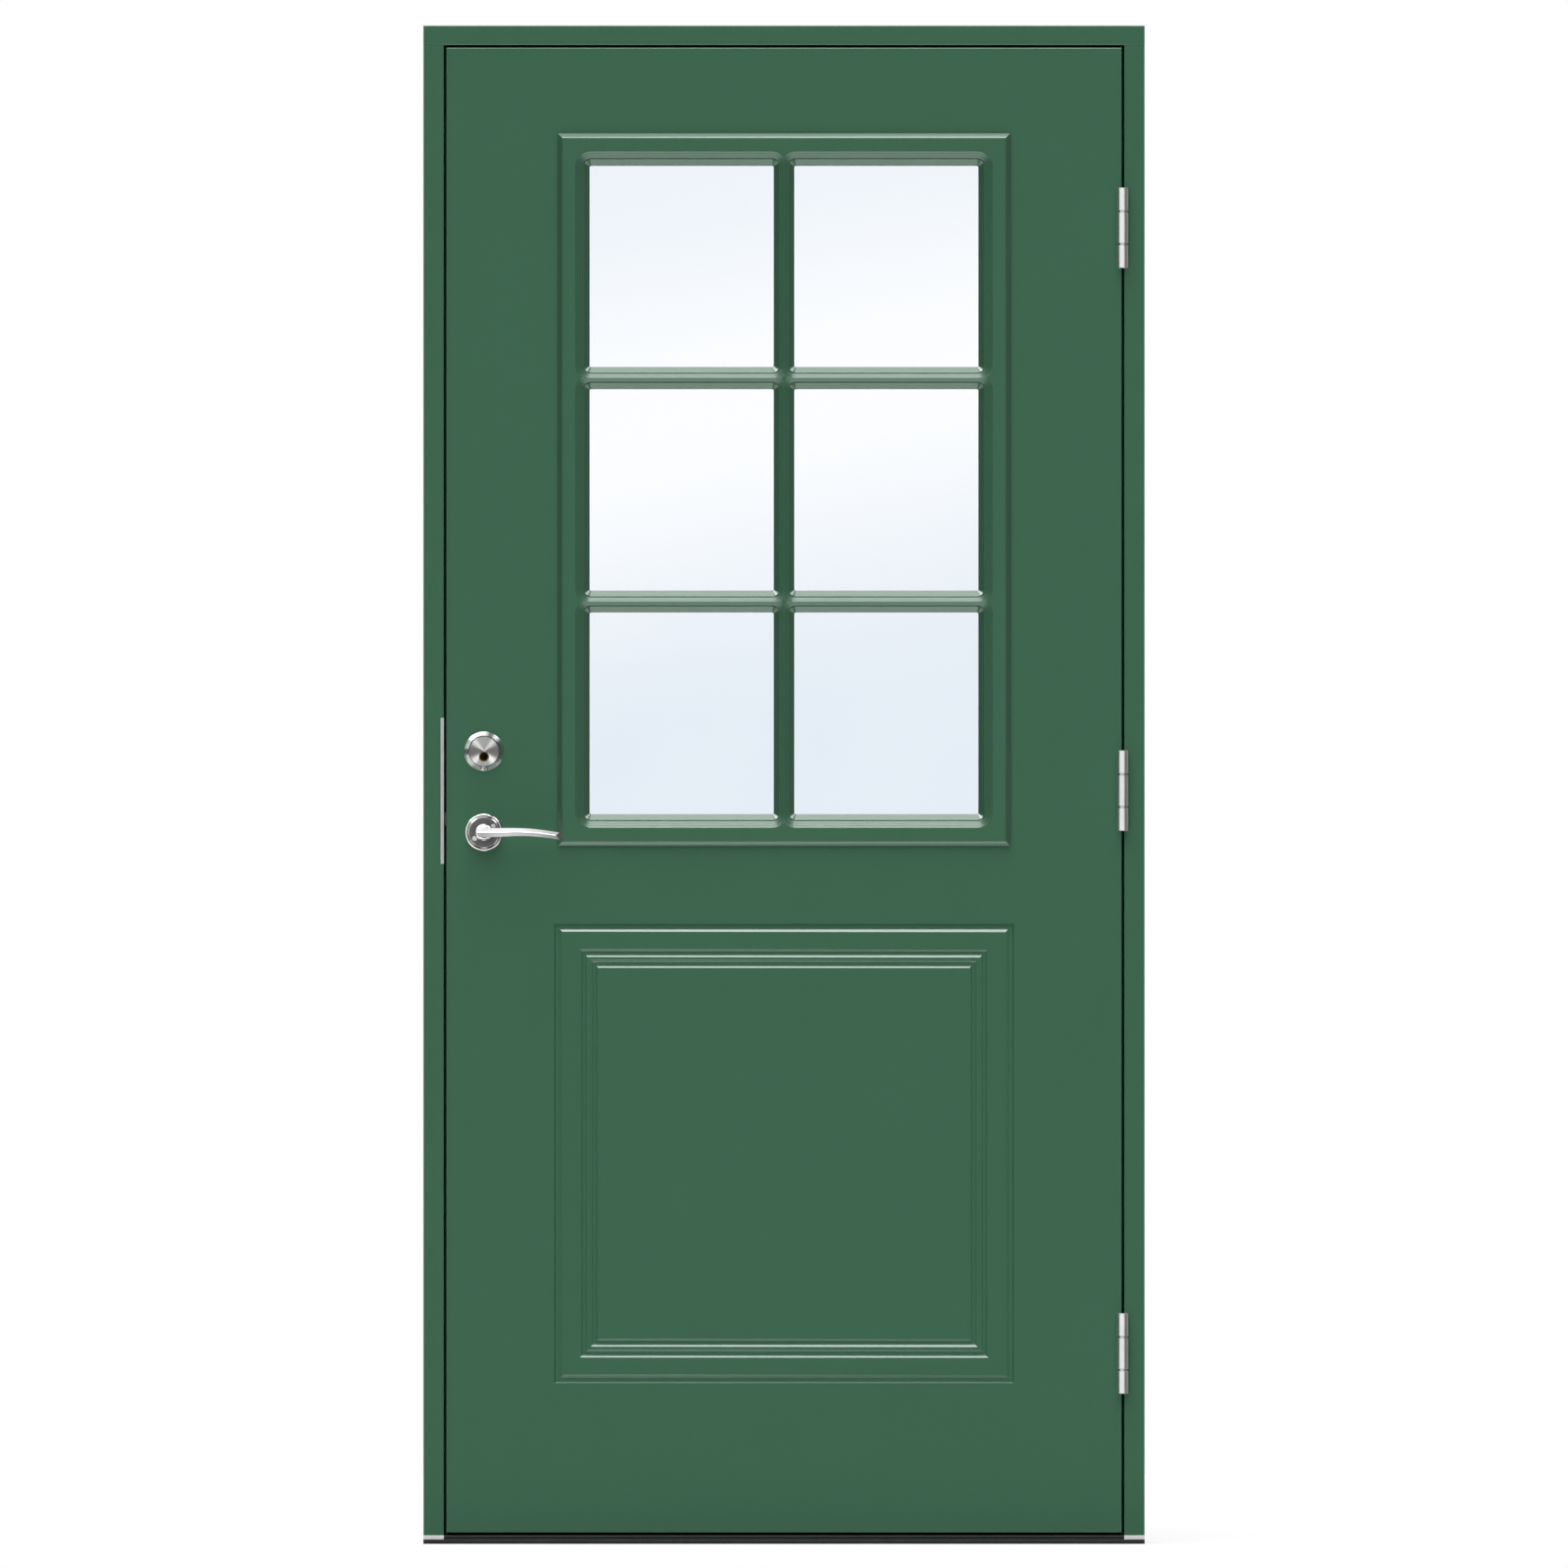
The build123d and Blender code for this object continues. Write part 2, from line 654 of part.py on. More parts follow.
def groove_rail(section, length):
    """A straight groove cutter along X with its outer edge at z = 0, mitred inwards at both ends.

    The section's edges are drawn in (distance in from the outer edge, depth).
    """
    half = length / 2
    across = Plane(origin=(half, 0, 0), x_dir=(0, 0, 1), z_dir=(-1, 0, 0))
    rail = extrude(across * make_face(section), amount=length)
    corners = [(-half - OVERRUN, -OVERRUN), (half + OVERRUN, -OVERRUN), (0, half)]
    wedge = make_face(Polyline(*corners, close=True))
    return rail & extrude(Plane.XZ * wedge, amount=GROOVE_DEPTH + OVERRUN, both=True)


def mitred_ring(inset, section):
    """A groove cutter round the panel, with its outer edge that far in from the panel's edge."""
    half_width = PANEL_WIDTH / 2 - inset
    half_height = PANEL_HEIGHT / 2 - inset
    middle = PANEL_BOTTOM + PANEL_HEIGHT / 2
    level = groove_rail(section, 2 * half_width)
    upright = groove_rail(section, 2 * half_height)
    ring = Pos(0, 0, middle - half_height) * level
    ring += Pos(0, 0, middle + half_height) * Rot(0, 180, 0) * level
    ring += Pos(-half_width, 0, middle) * Rot(0, 90, 0) * upright
    ring += Pos(half_width, 0, middle) * Rot(0, -90, 0) * upright
    return ring


def rounded_wall(top, foot):
    """A groove's convex wall in section, nearly level at its top and steep at its foot."""
    wide, deep = foot[0] - top[0], foot[1] - top[1]
    chord = hypot(wide, deep)
    bend = atan2(deep, abs(wide)) - radians(LIP_SLOPE)
    rise = chord / 2 * tan(bend / 2)
    side = 1 if wide > 0 else -1
    middle = (
        (top[0] + foot[0]) / 2 + side * rise * deep / chord,
        (top[1] + foot[1]) / 2 - rise * abs(wide) / chord,
    )
    return ThreePointArc(top, middle, foot)


def groove_mouth(width):
    """The open side of a groove's section, out in front of the face."""
    return [
        Line((width, 0), (width, -OVERRUN)),
        Line((width, -OVERRUN), (0, -OVERRUN)),
        Line((0, -OVERRUN), (0, 0)),
    ]


def edge_groove():
    """Groove at the panel's edge: a steep outer wall, a floor and a rounded inner wall."""
    foot = EDGE_WALL + EDGE_FLOOR
    width = foot + EDGE_ROUND
    walls = [
        Line((0, 0), (EDGE_WALL, GROOVE_DEPTH)),
        Line((EDGE_WALL, GROOVE_DEPTH), (foot, GROOVE_DEPTH)),
        rounded_wall((width, 0), (foot, GROOVE_DEPTH)),
    ]
    return width, walls + groove_mouth(width)


def double_groove():
    """Two grooves with rounded walls, and a narrow bead between them."""
    single = 2 * GROOVE_ROUND + GROOVE_FLOOR
    second = single + BEAD_WIDTH
    width = second + single
    walls = [Line((single, BEAD_DROP), (second, BEAD_DROP))]
    for start, outer, inner in ((0, 0, BEAD_DROP), (second, BEAD_DROP, 0)):
        near, far = start + GROOVE_ROUND, start + GROOVE_ROUND + GROOVE_FLOOR
        walls.append(rounded_wall((start, outer), (near, GROOVE_DEPTH)))
        walls.append(Line((near, GROOVE_DEPTH), (far, GROOVE_DEPTH)))
        walls.append(rounded_wall((start + single, inner), (far, GROOVE_DEPTH)))
    return walls + groove_mouth(width)


def panel_cutters():
    """Outer groove and inner double groove of the milled panel, cut from the face at y = 0."""
    width, single = edge_groove()
    return [mitred_ring(0, single), mitred_ring(width + PANEL_BAND, double_groove())]


def aperture(y0, y1):
    """The opening that the glazing sits in."""
    half_width = APERTURE_WIDTH / 2
    half_height = APERTURE_HEIGHT / 2
    return block(-half_width, half_width, y0, y1, CASSETTE_Z - half_height, CASSETTE_Z + half_height)


def plain_skin():
    """The outer skin before hardware: eased edges, the glazing's opening and the milled panel."""
    body = block(-LEAF_X, LEAF_X, 0, SKIN, LEAF_BOTTOM, LEAF_TOP)
    body = fillet(body.faces().sort_by(Axis.Y)[0].edges(), LEAF_EASE)
    body -= aperture(-OVERRUN, SKIN + OVERRUN)
    for cutter in panel_cutters():
        body -= cutter
    return body


def lock_bores():
    """Holes through the leaf for spindle, cylinder and thumb turn, and the pocket for the lock."""
    through = LEAF_THICK + 2 * OVERRUN
    barrel = CASE_FRONT + OVERRUN
    spindle = rod(ROSE_BORE, (LOCK_X, -OVERRUN, HANDLE_Z), (0, 1, 0), through)
    cylinder = rod(CYLINDER_BARREL + CYLINDER_PLAY, (LOCK_X, -OVERRUN, KEY_Z), (0, 1, 0), barrel)
    turn = rod(THUMB_STEM, (LOCK_X, CASE_BACK - OVERRUN, KEY_Z), (0, 1, 0), LEAF_THICK)
    pocket = block(
        -LEAF_X - OVERRUN,
        FOREND_BACK + CASE_DEPTH + CASE_PLAY,
        CASE_FRONT - CASE_PLAY,
        CASE_BACK + CASE_PLAY,
        CASE_BOTTOM - CASE_PLAY,
        CASE_TOP + CASE_PLAY,
    )
    half = FOREND_HEIGHT / 2
    seat = block(
        -LEAF_X - OVERRUN,
        FOREND_BACK,
        MID_Y - FOREND_WIDTH / 2,
        MID_Y + FOREND_WIDTH / 2,
        LOCK_Z - half,
        LOCK_Z + half,
    )
    return [spindle, cylinder, turn, pocket, seat]


def core():
    """Insulation between stiles and rails, round the glazing's opening."""
    body = block(
        LOCK_STILE - LEAF_X,
        LEAF_X - HINGE_STILE,
        SKIN,
        CORE_BACK,
        LEAF_BOTTOM + BOTTOM_RAIL,
        LEAF_TOP - TOP_RAIL,
    )
    return body - aperture(-OVERRUN, LEAF_THICK + OVERRUN)


# Glazing


def frustum(width, height, corner, y, rise, spread):
    """A rounded rectangle that grows by spread on each side as it rises out of the leaf."""
    face = facing(0, y, 0, True) * RectangleRounded(width, height, corner)
    return extrude(face, amount=rise, taper=-degrees(atan2(spread, rise)))


def sight_outline():
    """Section of the moulding round a light: (distance out from the glass edge, height, spread, rise)."""
    top = REED_COUNT * (REED_FALL + REED_RISER)
    level = -top - QUIRK_DROP - SIGHT_BEVEL_DROP
    steps = [(0, level, SIGHT_BEVEL, SIGHT_BEVEL_DROP)]
    level += SIGHT_BEVEL_DROP
    out = SIGHT_BEVEL + QUIRK_WIDTH
    steps.append((out, level, QUIRK_SLOPE, QUIRK_DROP))
    level += QUIRK_DROP
    out += QUIRK_SLOPE
    for _ in range(REED_COUNT):
        tread = REED_WIDTH - REED_RISER_SLOPE
        steps.append((out, level, tread, REED_FALL))
        steps.append((out + tread, level + REED_FALL, REED_RISER_SLOPE, REED_RISER))
        out += REED_WIDTH
        level += REED_FALL + REED_RISER
    return steps


def sight_cutter():
    """The opening of one light with its bevel, quirk and reeds, centred on the origin."""
    depth = CASSETTE_PROUD + LEAF_THICK
    cutter = facing(0, depth, 0, True) * RectangleRounded(PANE_WIDTH, PANE_HEIGHT, PANE_CORNER)
    body = extrude(cutter, amount=depth)
    for out, level, spread, rise in sight_outline():
        size = PANE_WIDTH + 2 * out, PANE_HEIGHT + 2 * out, PANE_CORNER + out
        body += frustum(*size, -CASSETTE_PROUD - level, rise, spread)
    full = SIGHT_BEVEL + QUIRK_WIDTH + QUIRK_SLOPE + REED_COUNT * REED_WIDTH
    size = PANE_WIDTH + 2 * full, PANE_HEIGHT + 2 * full, PANE_CORNER + full
    return body + frustum(*size, -CASSETTE_PROUD, OVERRUN, 0)


def flange_bevel(height, inset, width, rise):
    """One bevelled step of the flange, from its height above the leaf and its distance in."""
    face = Rectangle(CASSETTE_WIDTH - 2 * inset, CASSETTE_HEIGHT - 2 * inset)
    start = facing(0, -height, CASSETTE_Z, True)
    return extrude(start * face, amount=rise, taper=degrees(atan2(width, rise)))


def plain_cassette():
    """The outer cassette before its screws: bevelled flange, spigot and one moulding per light."""
    half_width = CASSETTE_WIDTH / 2
    half_height = CASSETTE_HEIGHT / 2
    edge = CASSETTE_PROUD - CASSETTE_EDGE_DROP - CASSETTE_FACE_DROP
    low, high = CASSETTE_Z - half_height, CASSETTE_Z + half_height
    flange = block(-half_width, half_width, -edge, 0, low, high)
    flange += flange_bevel(edge, 0, CASSETTE_EDGE_BEVEL, CASSETTE_EDGE_DROP)
    edge += CASSETTE_EDGE_DROP
    flange += flange_bevel(edge, CASSETTE_EDGE_BEVEL, CASSETTE_FACE_BEVEL, CASSETTE_FACE_DROP)
    half_width -= CASSETTE_LAP + SPIGOT_PLAY
    half_height -= CASSETTE_LAP + SPIGOT_PLAY
    low, high = CASSETTE_Z - half_height, CASSETTE_Z + half_height
    body = flange + block(-half_width, half_width, 0, UNIT_FRONT - GASKET, low, high)
    cutter = sight_cutter()
    for column in range(PANE_COLUMNS):
        for row in range(PANE_ROWS):
            x = (column - (PANE_COLUMNS - 1) / 2) * (PANE_WIDTH + MULLION)
            z = (row - (PANE_ROWS - 1) / 2) * (PANE_HEIGHT + TRANSOM)
            body -= Pos(x, 0, CASSETTE_Z + z) * cutter
    return body


def unit_frame(y0, y1, inset, width):
    """A rectangular ring round the sealed unit, set in from its edge."""
    outer_width, outer_height = UNIT_WIDTH - 2 * inset, UNIT_HEIGHT - 2 * inset
    face = Rectangle(outer_width, outer_height) - Rectangle(outer_width - 2 * width, outer_height - 2 * width)
    return extrude(facing(0, y0, CASSETTE_Z, False) * face, amount=y1 - y0)


def sealed_unit():
    """Three panes with two spacers between them, and a gasket on each side."""
    nodes = {}
    half_width, half_height = UNIT_WIDTH / 2, UNIT_HEIGHT / 2
    low, high = CASSETTE_Z - half_height, CASSETTE_Z + half_height
    y = UNIT_FRONT
    for name in ("outer", "middle", "inner"):
        nodes[f"glass_{name}"] = block(-half_width, half_width, y, y + GLASS, low, high)
        if name != "inner":
            spacer = unit_frame(y + GLASS, y + GLASS + GLASS_SPACE, SPACER_INSET, SPACER_WIDTH)
            nodes[f"spacer_{'outer' if name == 'outer' else 'inner'}"] = spacer
        y += GLASS + GLASS_SPACE
    outer = unit_frame(UNIT_FRONT - GASKET, UNIT_FRONT, 0, GASKET_WIDTH)
    nodes["gasket_outer"] = outer
    nodes["gasket_inner"] = mirror(outer, about=MIRROR)
    return nodes


# Lock


def bolt_spans():
    """Heights of latch and deadbolt, as (low, high)."""
    latch = HANDLE_Z + LATCH_BASE
    deadbolt = KEY_Z + DEADBOLT_BASE
    return (latch, latch + LATCH_HEIGHT), (deadbolt, deadbolt + DEADBOLT_HEIGHT)


def bolt_holes(x0, x1, margin):
    """Rectangular holes round latch and deadbolt."""
    y0, y1 = MID_Y - BAR / 2 - margin, MID_Y + BAR / 2 + margin
    return [block(x0, x1, y0, y1, low - margin, high + margin) for low, high in bolt_spans()]


def case_bores():
    """Bearings of follower and cam in the sides of the lock case, and room for the rose screws."""
    start = CASE_FRONT - OVERRUN
    long = CASE_THICK + 2 * OVERRUN
    return [
        rod(FOLLOWER_RADIUS + JOURNAL_PLAY, (LOCK_X, start, HANDLE_Z), (0, 1, 0), long),
        rod(CAM_RADIUS + JOURNAL_PLAY, (LOCK_X, start, KEY_Z), (0, 1, 0), long),
    ]


def lock_case():
    """Tray of the lock case, open at the forend and on the cover's side."""
    x1 = FOREND_BACK + CASE_DEPTH
    split = CASE_BACK - CASE_WALL
    body = block(FOREND_BACK, x1, CASE_FRONT, split, CASE_BOTTOM, CASE_TOP)
    body -= block(
        FOREND_BACK - OVERRUN,
        x1 - CASE_WALL,
        CASE_FRONT + CASE_WALL,
        split + OVERRUN,
        CASE_BOTTOM + CASE_WALL,
        CASE_TOP - CASE_WALL,
    )
    for bore in case_bores():
        body -= bore
    return body


def lock_cover():
    """Flat cover of the lock case."""
    x1 = FOREND_BACK + CASE_DEPTH
    body = block(FOREND_BACK, x1, CASE_BACK - CASE_WALL, CASE_BACK, CASE_BOTTOM, CASE_TOP)
    for bore in case_bores():
        body -= bore
    return body


def forend(holes):
    """Forend plate in the leaf's edge, with openings for latch and deadbolt."""
    half = FOREND_HEIGHT / 2
    y0, y1 = MID_Y - FOREND_WIDTH / 2, MID_Y + FOREND_WIDTH / 2
    body = block(-LEAF_X, FOREND_BACK, y0, y1, LOCK_Z - half, LOCK_Z + half)
    for cut in bolt_holes(-LEAF_X - OVERRUN, FOREND_BACK + OVERRUN, BAR_PLAY) + holes:
        body -= cut
    return body


def strike_plate(holes):
    """Strike plate let in flush with the jamb's rebate and front face."""
    half = STRIKE_HEIGHT / 2
    body = block(-REBATE_X - STRIKE, -REBATE_X, 0, STRIKE_DEPTH, LOCK_Z - half, LOCK_Z + half)
    back = body.edges().filter_by(Axis.X).filter_by_position(Axis.Y, STRIKE_DEPTH, STRIKE_DEPTH)
    body = fillet(back, STRIKE_CORNER)
    for cut in bolt_holes(-REBATE_X - STRIKE - OVERRUN, OVERRUN - REBATE_X, KEEP_MARGIN) + holes:
        body -= cut
    return body


def strike_pockets():
    """Seat of the strike plate in the jamb, and the pockets behind its two openings."""
    half = STRIKE_HEIGHT / 2
    seat = block(
        -REBATE_X - STRIKE, OVERRUN - REBATE_X, -OVERRUN, STRIKE_DEPTH, LOCK_Z - half, LOCK_Z + half
    )
    back = seat.edges().filter_by(Axis.X).filter_by_position(Axis.Y, STRIKE_DEPTH, STRIKE_DEPTH)
    return [fillet(back, STRIKE_CORNER)] + bolt_holes(-REBATE_X - KEEP_DEPTH, -REBATE_X, KEEP_MARGIN)


def sliding_bolt(tip, slot_x, base, height, crank, axis_z):
    """A flat bolt from its tip to a tail with a slot for a crank pin, open below."""
    reach = CRANK_PIN + CRANK_PLAY
    low = axis_z + base
    y0, y1 = MID_Y - BAR / 2, MID_Y + BAR / 2
    body = block(tip, slot_x + reach + BOLT_TAIL, y0, y1, low, low + height)
    top = axis_z + crank + reach
    return body - block(slot_x - reach, slot_x + reach, y0 - OVERRUN, y1 + OVERRUN, low - OVERRUN, top)


def latch_bolt():
    """Latch bolt with a nose bevelled on the inside, so that it rides over the strike plate."""
    tip = -LEAF_X - LATCH_THROW
    body = sliding_bolt(tip, LOCK_X, LATCH_BASE, LATCH_HEIGHT, HANDLE_CRANK, HANDLE_Z)
    low, high = bolt_spans()[0]
    back = MID_Y + BAR / 2
    wedge = along_z(
        [
            (tip - OVERRUN, back + OVERRUN),
            (tip - OVERRUN, back - BAR + LATCH_NOSE),
            (tip, back - BAR + LATCH_NOSE),
            (-LEAF_X, back),
            (-LEAF_X, back + OVERRUN),
        ],
        low - OVERRUN,
        high + OVERRUN,
    )
    return body - wedge


def deadbolt():
    """Deadbolt, drawn back flush with the forend."""
    slot_x = LOCK_X + DEADBOLT_THROW / 2
    return sliding_bolt(-LEAF_X, slot_x, DEADBOLT_BASE, DEADBOLT_HEIGHT, THUMB_CRANK, KEY_Z)


def crank(radius, arm, angle, axis_z, square):
    """A bushing in the lock case with a web and a pin that drives a bolt."""
    y0 = CASE_FRONT + CASE_WALL + JOURNAL_PLAY
    y1 = MID_Y + BAR / 2
    body = rod(radius, (LOCK_X, CASE_FRONT, axis_z), (0, 1, 0), CASE_THICK)
    x, z = LOCK_X + arm * sin(angle), axis_z + arm * cos(angle)
    web = SlotCenterToCenter(arm, 2 * (CRANK_PIN + CRANK_RIM), rotation=90)
    place = facing(LOCK_X, y0, axis_z, False) * Rot(0, 0, degrees(angle)) * Pos(0, -arm / 2)
    body += extrude(place * web, amount=CRANK_WEB)
    body += rod(CRANK_PIN, (x, y0, z), (0, 1, 0), y1 - y0)
    return body - square_bar(square, LOCK_X, axis_z, CASE_FRONT - OVERRUN, CASE_BACK + OVERRUN)


# Handles, cylinder and thumb turn


def rose(bore):
    """A round rose: rounded rim, a turned line, a lip and a bevel down to a recessed face."""
    rim = ROSE_RADIUS - ROSE_EASE
    line = rim - ROSE_LINE
    lip = line - ROSE_LIP
    points = [
        (bore, 0),
        (ROSE_RADIUS, 0),
        (ROSE_RADIUS, ROSE_EASE - ROSE),
        (rim, -ROSE),
        ((rim + line) / 2, ROSE_LINE_DEPTH - ROSE),
        (line, -ROSE),
        (lip, -ROSE),
        (lip - ROSE_BEVEL, ROSE_RECESS - ROSE),
        (bore, ROSE_RECESS - ROSE),
    ]
    rounded = (rim + ROSE_EASE * cos(radians(45)), ROSE_EASE - ROSE - ROSE_EASE * sin(radians(45)))
    edges = [Line(a, b) for a, b in zip(points, points[1:] + points[:1])]
    edges[2] = ThreePointArc(points[2], rounded, points[3])
    return Pos(LOCK_X, 0, 0) * revolve(make_face(edges), axis=Axis.Y)


def lever_section(along, centre, tall, deep):
    """A cross-section of the lever: a lozenge with rounded corners, crests in front and behind."""
    place = Plane(origin=(along, -NECK_REACH, centre), x_dir=(0, 1, 0), z_dir=(1, 0, 0))
    lozenge = make_face(Polyline((-deep, 0), (0, tall), (deep, 0), (0, -tall), close=True))
    return place * fillet(lozenge.vertices(), LEVER_ROUND_SHARE * min(tall, deep))


def lever_grip():
    """The lever's bar: rounded at its inner end, drooping, and cut on a slant at its tip."""
    sections = []
    for shares in LEVER_SECTION_SHARES:
        sections.append(lever_section(*[share * LEVER_LENGTH for share in shares]))
    deep = LEVER_SECTION_SHARES[0][-1] * LEVER_LENGTH + OVERRUN
    stub = extrude(sections[0], amount=LEVER_BACK, dir=(-1, 0, 0))
    stub &= rod(LEVER_BACK, (0, -NECK_REACH - deep, 0), (0, 1, 0), 2 * deep)
    deep = LEVER_SECTION_SHARES[-1][-1] * LEVER_LENGTH
    front, back = -NECK_REACH - deep, deep - NECK_REACH
    slant = [
        (LEVER_LENGTH - LEVER_SLANT, front),
        (LEVER_LENGTH, back),
        (LEVER_LENGTH + LEVER_SLANT, back),
        (LEVER_LENGTH + LEVER_SLANT, front - LEVER_SLANT),
        (LEVER_LENGTH - LEVER_SLANT, front - LEVER_SLANT),
    ]
    return loft(sections) + stub - along_z(slant, -LEVER_LENGTH, LEVER_LENGTH)


def lever():
    """Outer lever: a turned neck that flares to its collar, and the grip across its end."""
    seat = NECK_SEAT - ROSE
    collar = -ROSE - NECK_CLEAR
    foot = collar - NECK_COLLAR_THICK
    side = [
        Line((0, seat), (NECK_JOURNAL, seat)),
        Line((NECK_JOURNAL, seat), (NECK_JOURNAL, collar)),
        Line((NECK_JOURNAL, collar), (NECK_COLLAR, collar)),
        Line((NECK_COLLAR, collar), (NECK_COLLAR, foot)),
        ThreePointArc(
            (NECK_COLLAR, foot),
            (NECK_WAIST, (foot - NECK_REACH) / 2),
            (NECK_END, -NECK_REACH),
        ),
        Line((NECK_END, -NECK_REACH), (0, -NECK_REACH)),
        Line((0, -NECK_REACH), (0, seat)),
    ]
    neck = revolve(make_face(side), axis=Axis.Y)
    neck -= square_bar(SPINDLE + 2 * SPINDLE_PLAY, 0, 0, SPINDLE_END - NECK_REACH, 0)
    return Pos(LOCK_X, 0, HANDLE_Z) * (neck + lever_grip())


def spindle():
    """Square spindle through both levers and the follower."""
    reach = NECK_REACH - SPINDLE_END - SPINDLE_PLAY
    return square_bar(SPINDLE, LOCK_X, HANDLE_Z, -reach, LEAF_THICK + reach)


def cylinder_ring():
    """Conical trim ring round the cylinder."""
    points = [
        (RING_BORE, 0),
        (RING_RADIUS, 0),
        (RING_RADIUS, -RING_FOOT),
        (RING_BORE + RING_FLAT, -RING),
        (RING_BORE, -RING),
    ]
    return turned(points, LOCK_X, CYLINDER_Z)


def guard_disc():
    """Dished steel disc in the ring, with a round hole in front of the key plug."""
    radius = RING_BORE - GUARD_PLAY
    points = [(0, -GUARD_BACK), (radius, -GUARD_BACK), (radius, -GUARD_RIM), (0, GUARD_DISH - GUARD_RIM)]
    hole = rod(KEYHOLE_RADIUS, (LOCK_X, -GUARD_RIM - OVERRUN, KEY_Z), (0, 1, 0), GUARD_RIM + OVERRUN)
    return turned(points, LOCK_X, CYLINDER_Z) - hole


def cylinder_body():
    """Flange behind the guard disc, and the barrel that holds the key plug."""
    flange = rod(RING_BORE - GUARD_PLAY, (LOCK_X, -GUARD_BACK, CYLINDER_Z), (0, 1, 0), GUARD_BACK)
    barrel = rod(CYLINDER_BARREL, (LOCK_X, 0, KEY_Z), (0, 1, 0), CASE_FRONT)
    start = (LOCK_X, -GUARD_BACK - OVERRUN, KEY_Z)
    bore = rod(PLUG_RADIUS + PLUG_PLAY, start, (0, 1, 0), GUARD_BACK + CASE_FRONT + 2 * OVERRUN)
    return flange + barrel - bore


def key_plug():
    """Turning plug with a keyway, and a square tail in the cam."""
    length = PLUG_FACE + CASE_FRONT
    body = rod(PLUG_RADIUS, (LOCK_X, -PLUG_FACE, KEY_Z), (0, 1, 0), length)
    body = chamfer(body.faces().sort_by(Axis.Y)[0].edges(), PLUG_EASE)
    half_width, half_height = KEYWAY_WIDTH / 2, KEYWAY_HEIGHT / 2
    body -= block(
        LOCK_X - half_width,
        LOCK_X + half_width,
        -PLUG_FACE - OVERRUN,
        KEYWAY_DEPTH - PLUG_FACE,
        KEY_Z - half_height,
        KEY_Z + half_height,
    )
    return body + square_bar(TAIL, LOCK_X, KEY_Z, CASE_FRONT, MID_Y - TAIL_MEET)


def thumb_knob():
    """Thumb turn: square tail, round stem and an upright oval grip."""
    seat = LEAF_THICK + ROSE
    body = rod(THUMB_STEM - SPINDLE_PLAY, (LOCK_X, LEAF_THICK, KEY_Z), (0, 1, 0), ROSE + THUMB_BASE)
    grip = SlotOverall(THUMB_GRIP_LENGTH, THUMB_GRIP_THICK, rotation=90)
    start = facing(LOCK_X, seat + NECK_CLEAR, KEY_Z, False)
    body += extrude(start * Circle(THUMB_BASE), amount=NECK_COLLAR_THICK)
    body += extrude(start * grip, amount=THUMB_REACH)
    rim = body.faces().sort_by(Axis.Y)[-1].edges()
    body = fillet(rim, ROSE_EASE)
    return body + square_bar(TAIL, LOCK_X, KEY_Z, MID_Y + TAIL_MEET, seat)


def less(body, cutters):
    """A body with a list of cutters taken away."""
    for cutter in cutters:
        body -= cutter
    return body


def frame_nodes():
    """Every piece that stays with the wall."""
    corner_screws, corner_holes = screws_and_holes(corner_screw_places())
    strike_screws, strike_holes = screws_and_holes(strike_screw_places())
    hinge_screws, hinge_holes = screws_and_holes(hinge_screw_places(1))
    heights = hinge_heights()
    pockets = [hinge_pocket(1, z) for z in heights.values()]
    feet = packers()
    nodes = {
        "frame_head": less(head(), corner_holes),
        "frame_jamb_lock": less(jamb(-1), corner_holes + strike_pockets() + strike_holes),
        "frame_jamb_hinge": less(jamb(1), corner_holes + pockets + hinge_holes),
        "threshold_base": less(threshold_base(), corner_holes),
        "threshold_rail": threshold_rail(),
        "jamb_packers": Compound(children=[less(foot, corner_holes) for foot in feet]),
        "seal_lock_side": side_seal(-1),
        "seal_hinge_side": side_seal(1),
        "seal_head": seal((-STOP_X, STOP_Y, HEAD_Z - SEAL_INSET), (1, 0, 0), 2 * STOP_X),
        "seal_threshold": seal((-STOP_X, STOP_Y, threshold_seal_z()), (1, 0, 0), 2 * STOP_X),
        "strike_plate": strike_plate(strike_holes),
        "frame_plate_screws": Compound(children=strike_screws + hinge_screws),
        "frame_fixing_sleeves": Compound(children=sleeves()),
        "frame_corner_screws": Compound(children=corner_screws),
        "hinge_pins": Compound(children=[hinge_pin(z) for z in heights.values()]),
        "hinge_washers": Compound(children=[w for z in heights.values() for w in hinge_washers(z)]),
    }
    for name, z in heights.items():
        nodes[f"hinge_{name}_frame_plate"] = hinge_plate(1, z, hinge_holes)
    return nodes


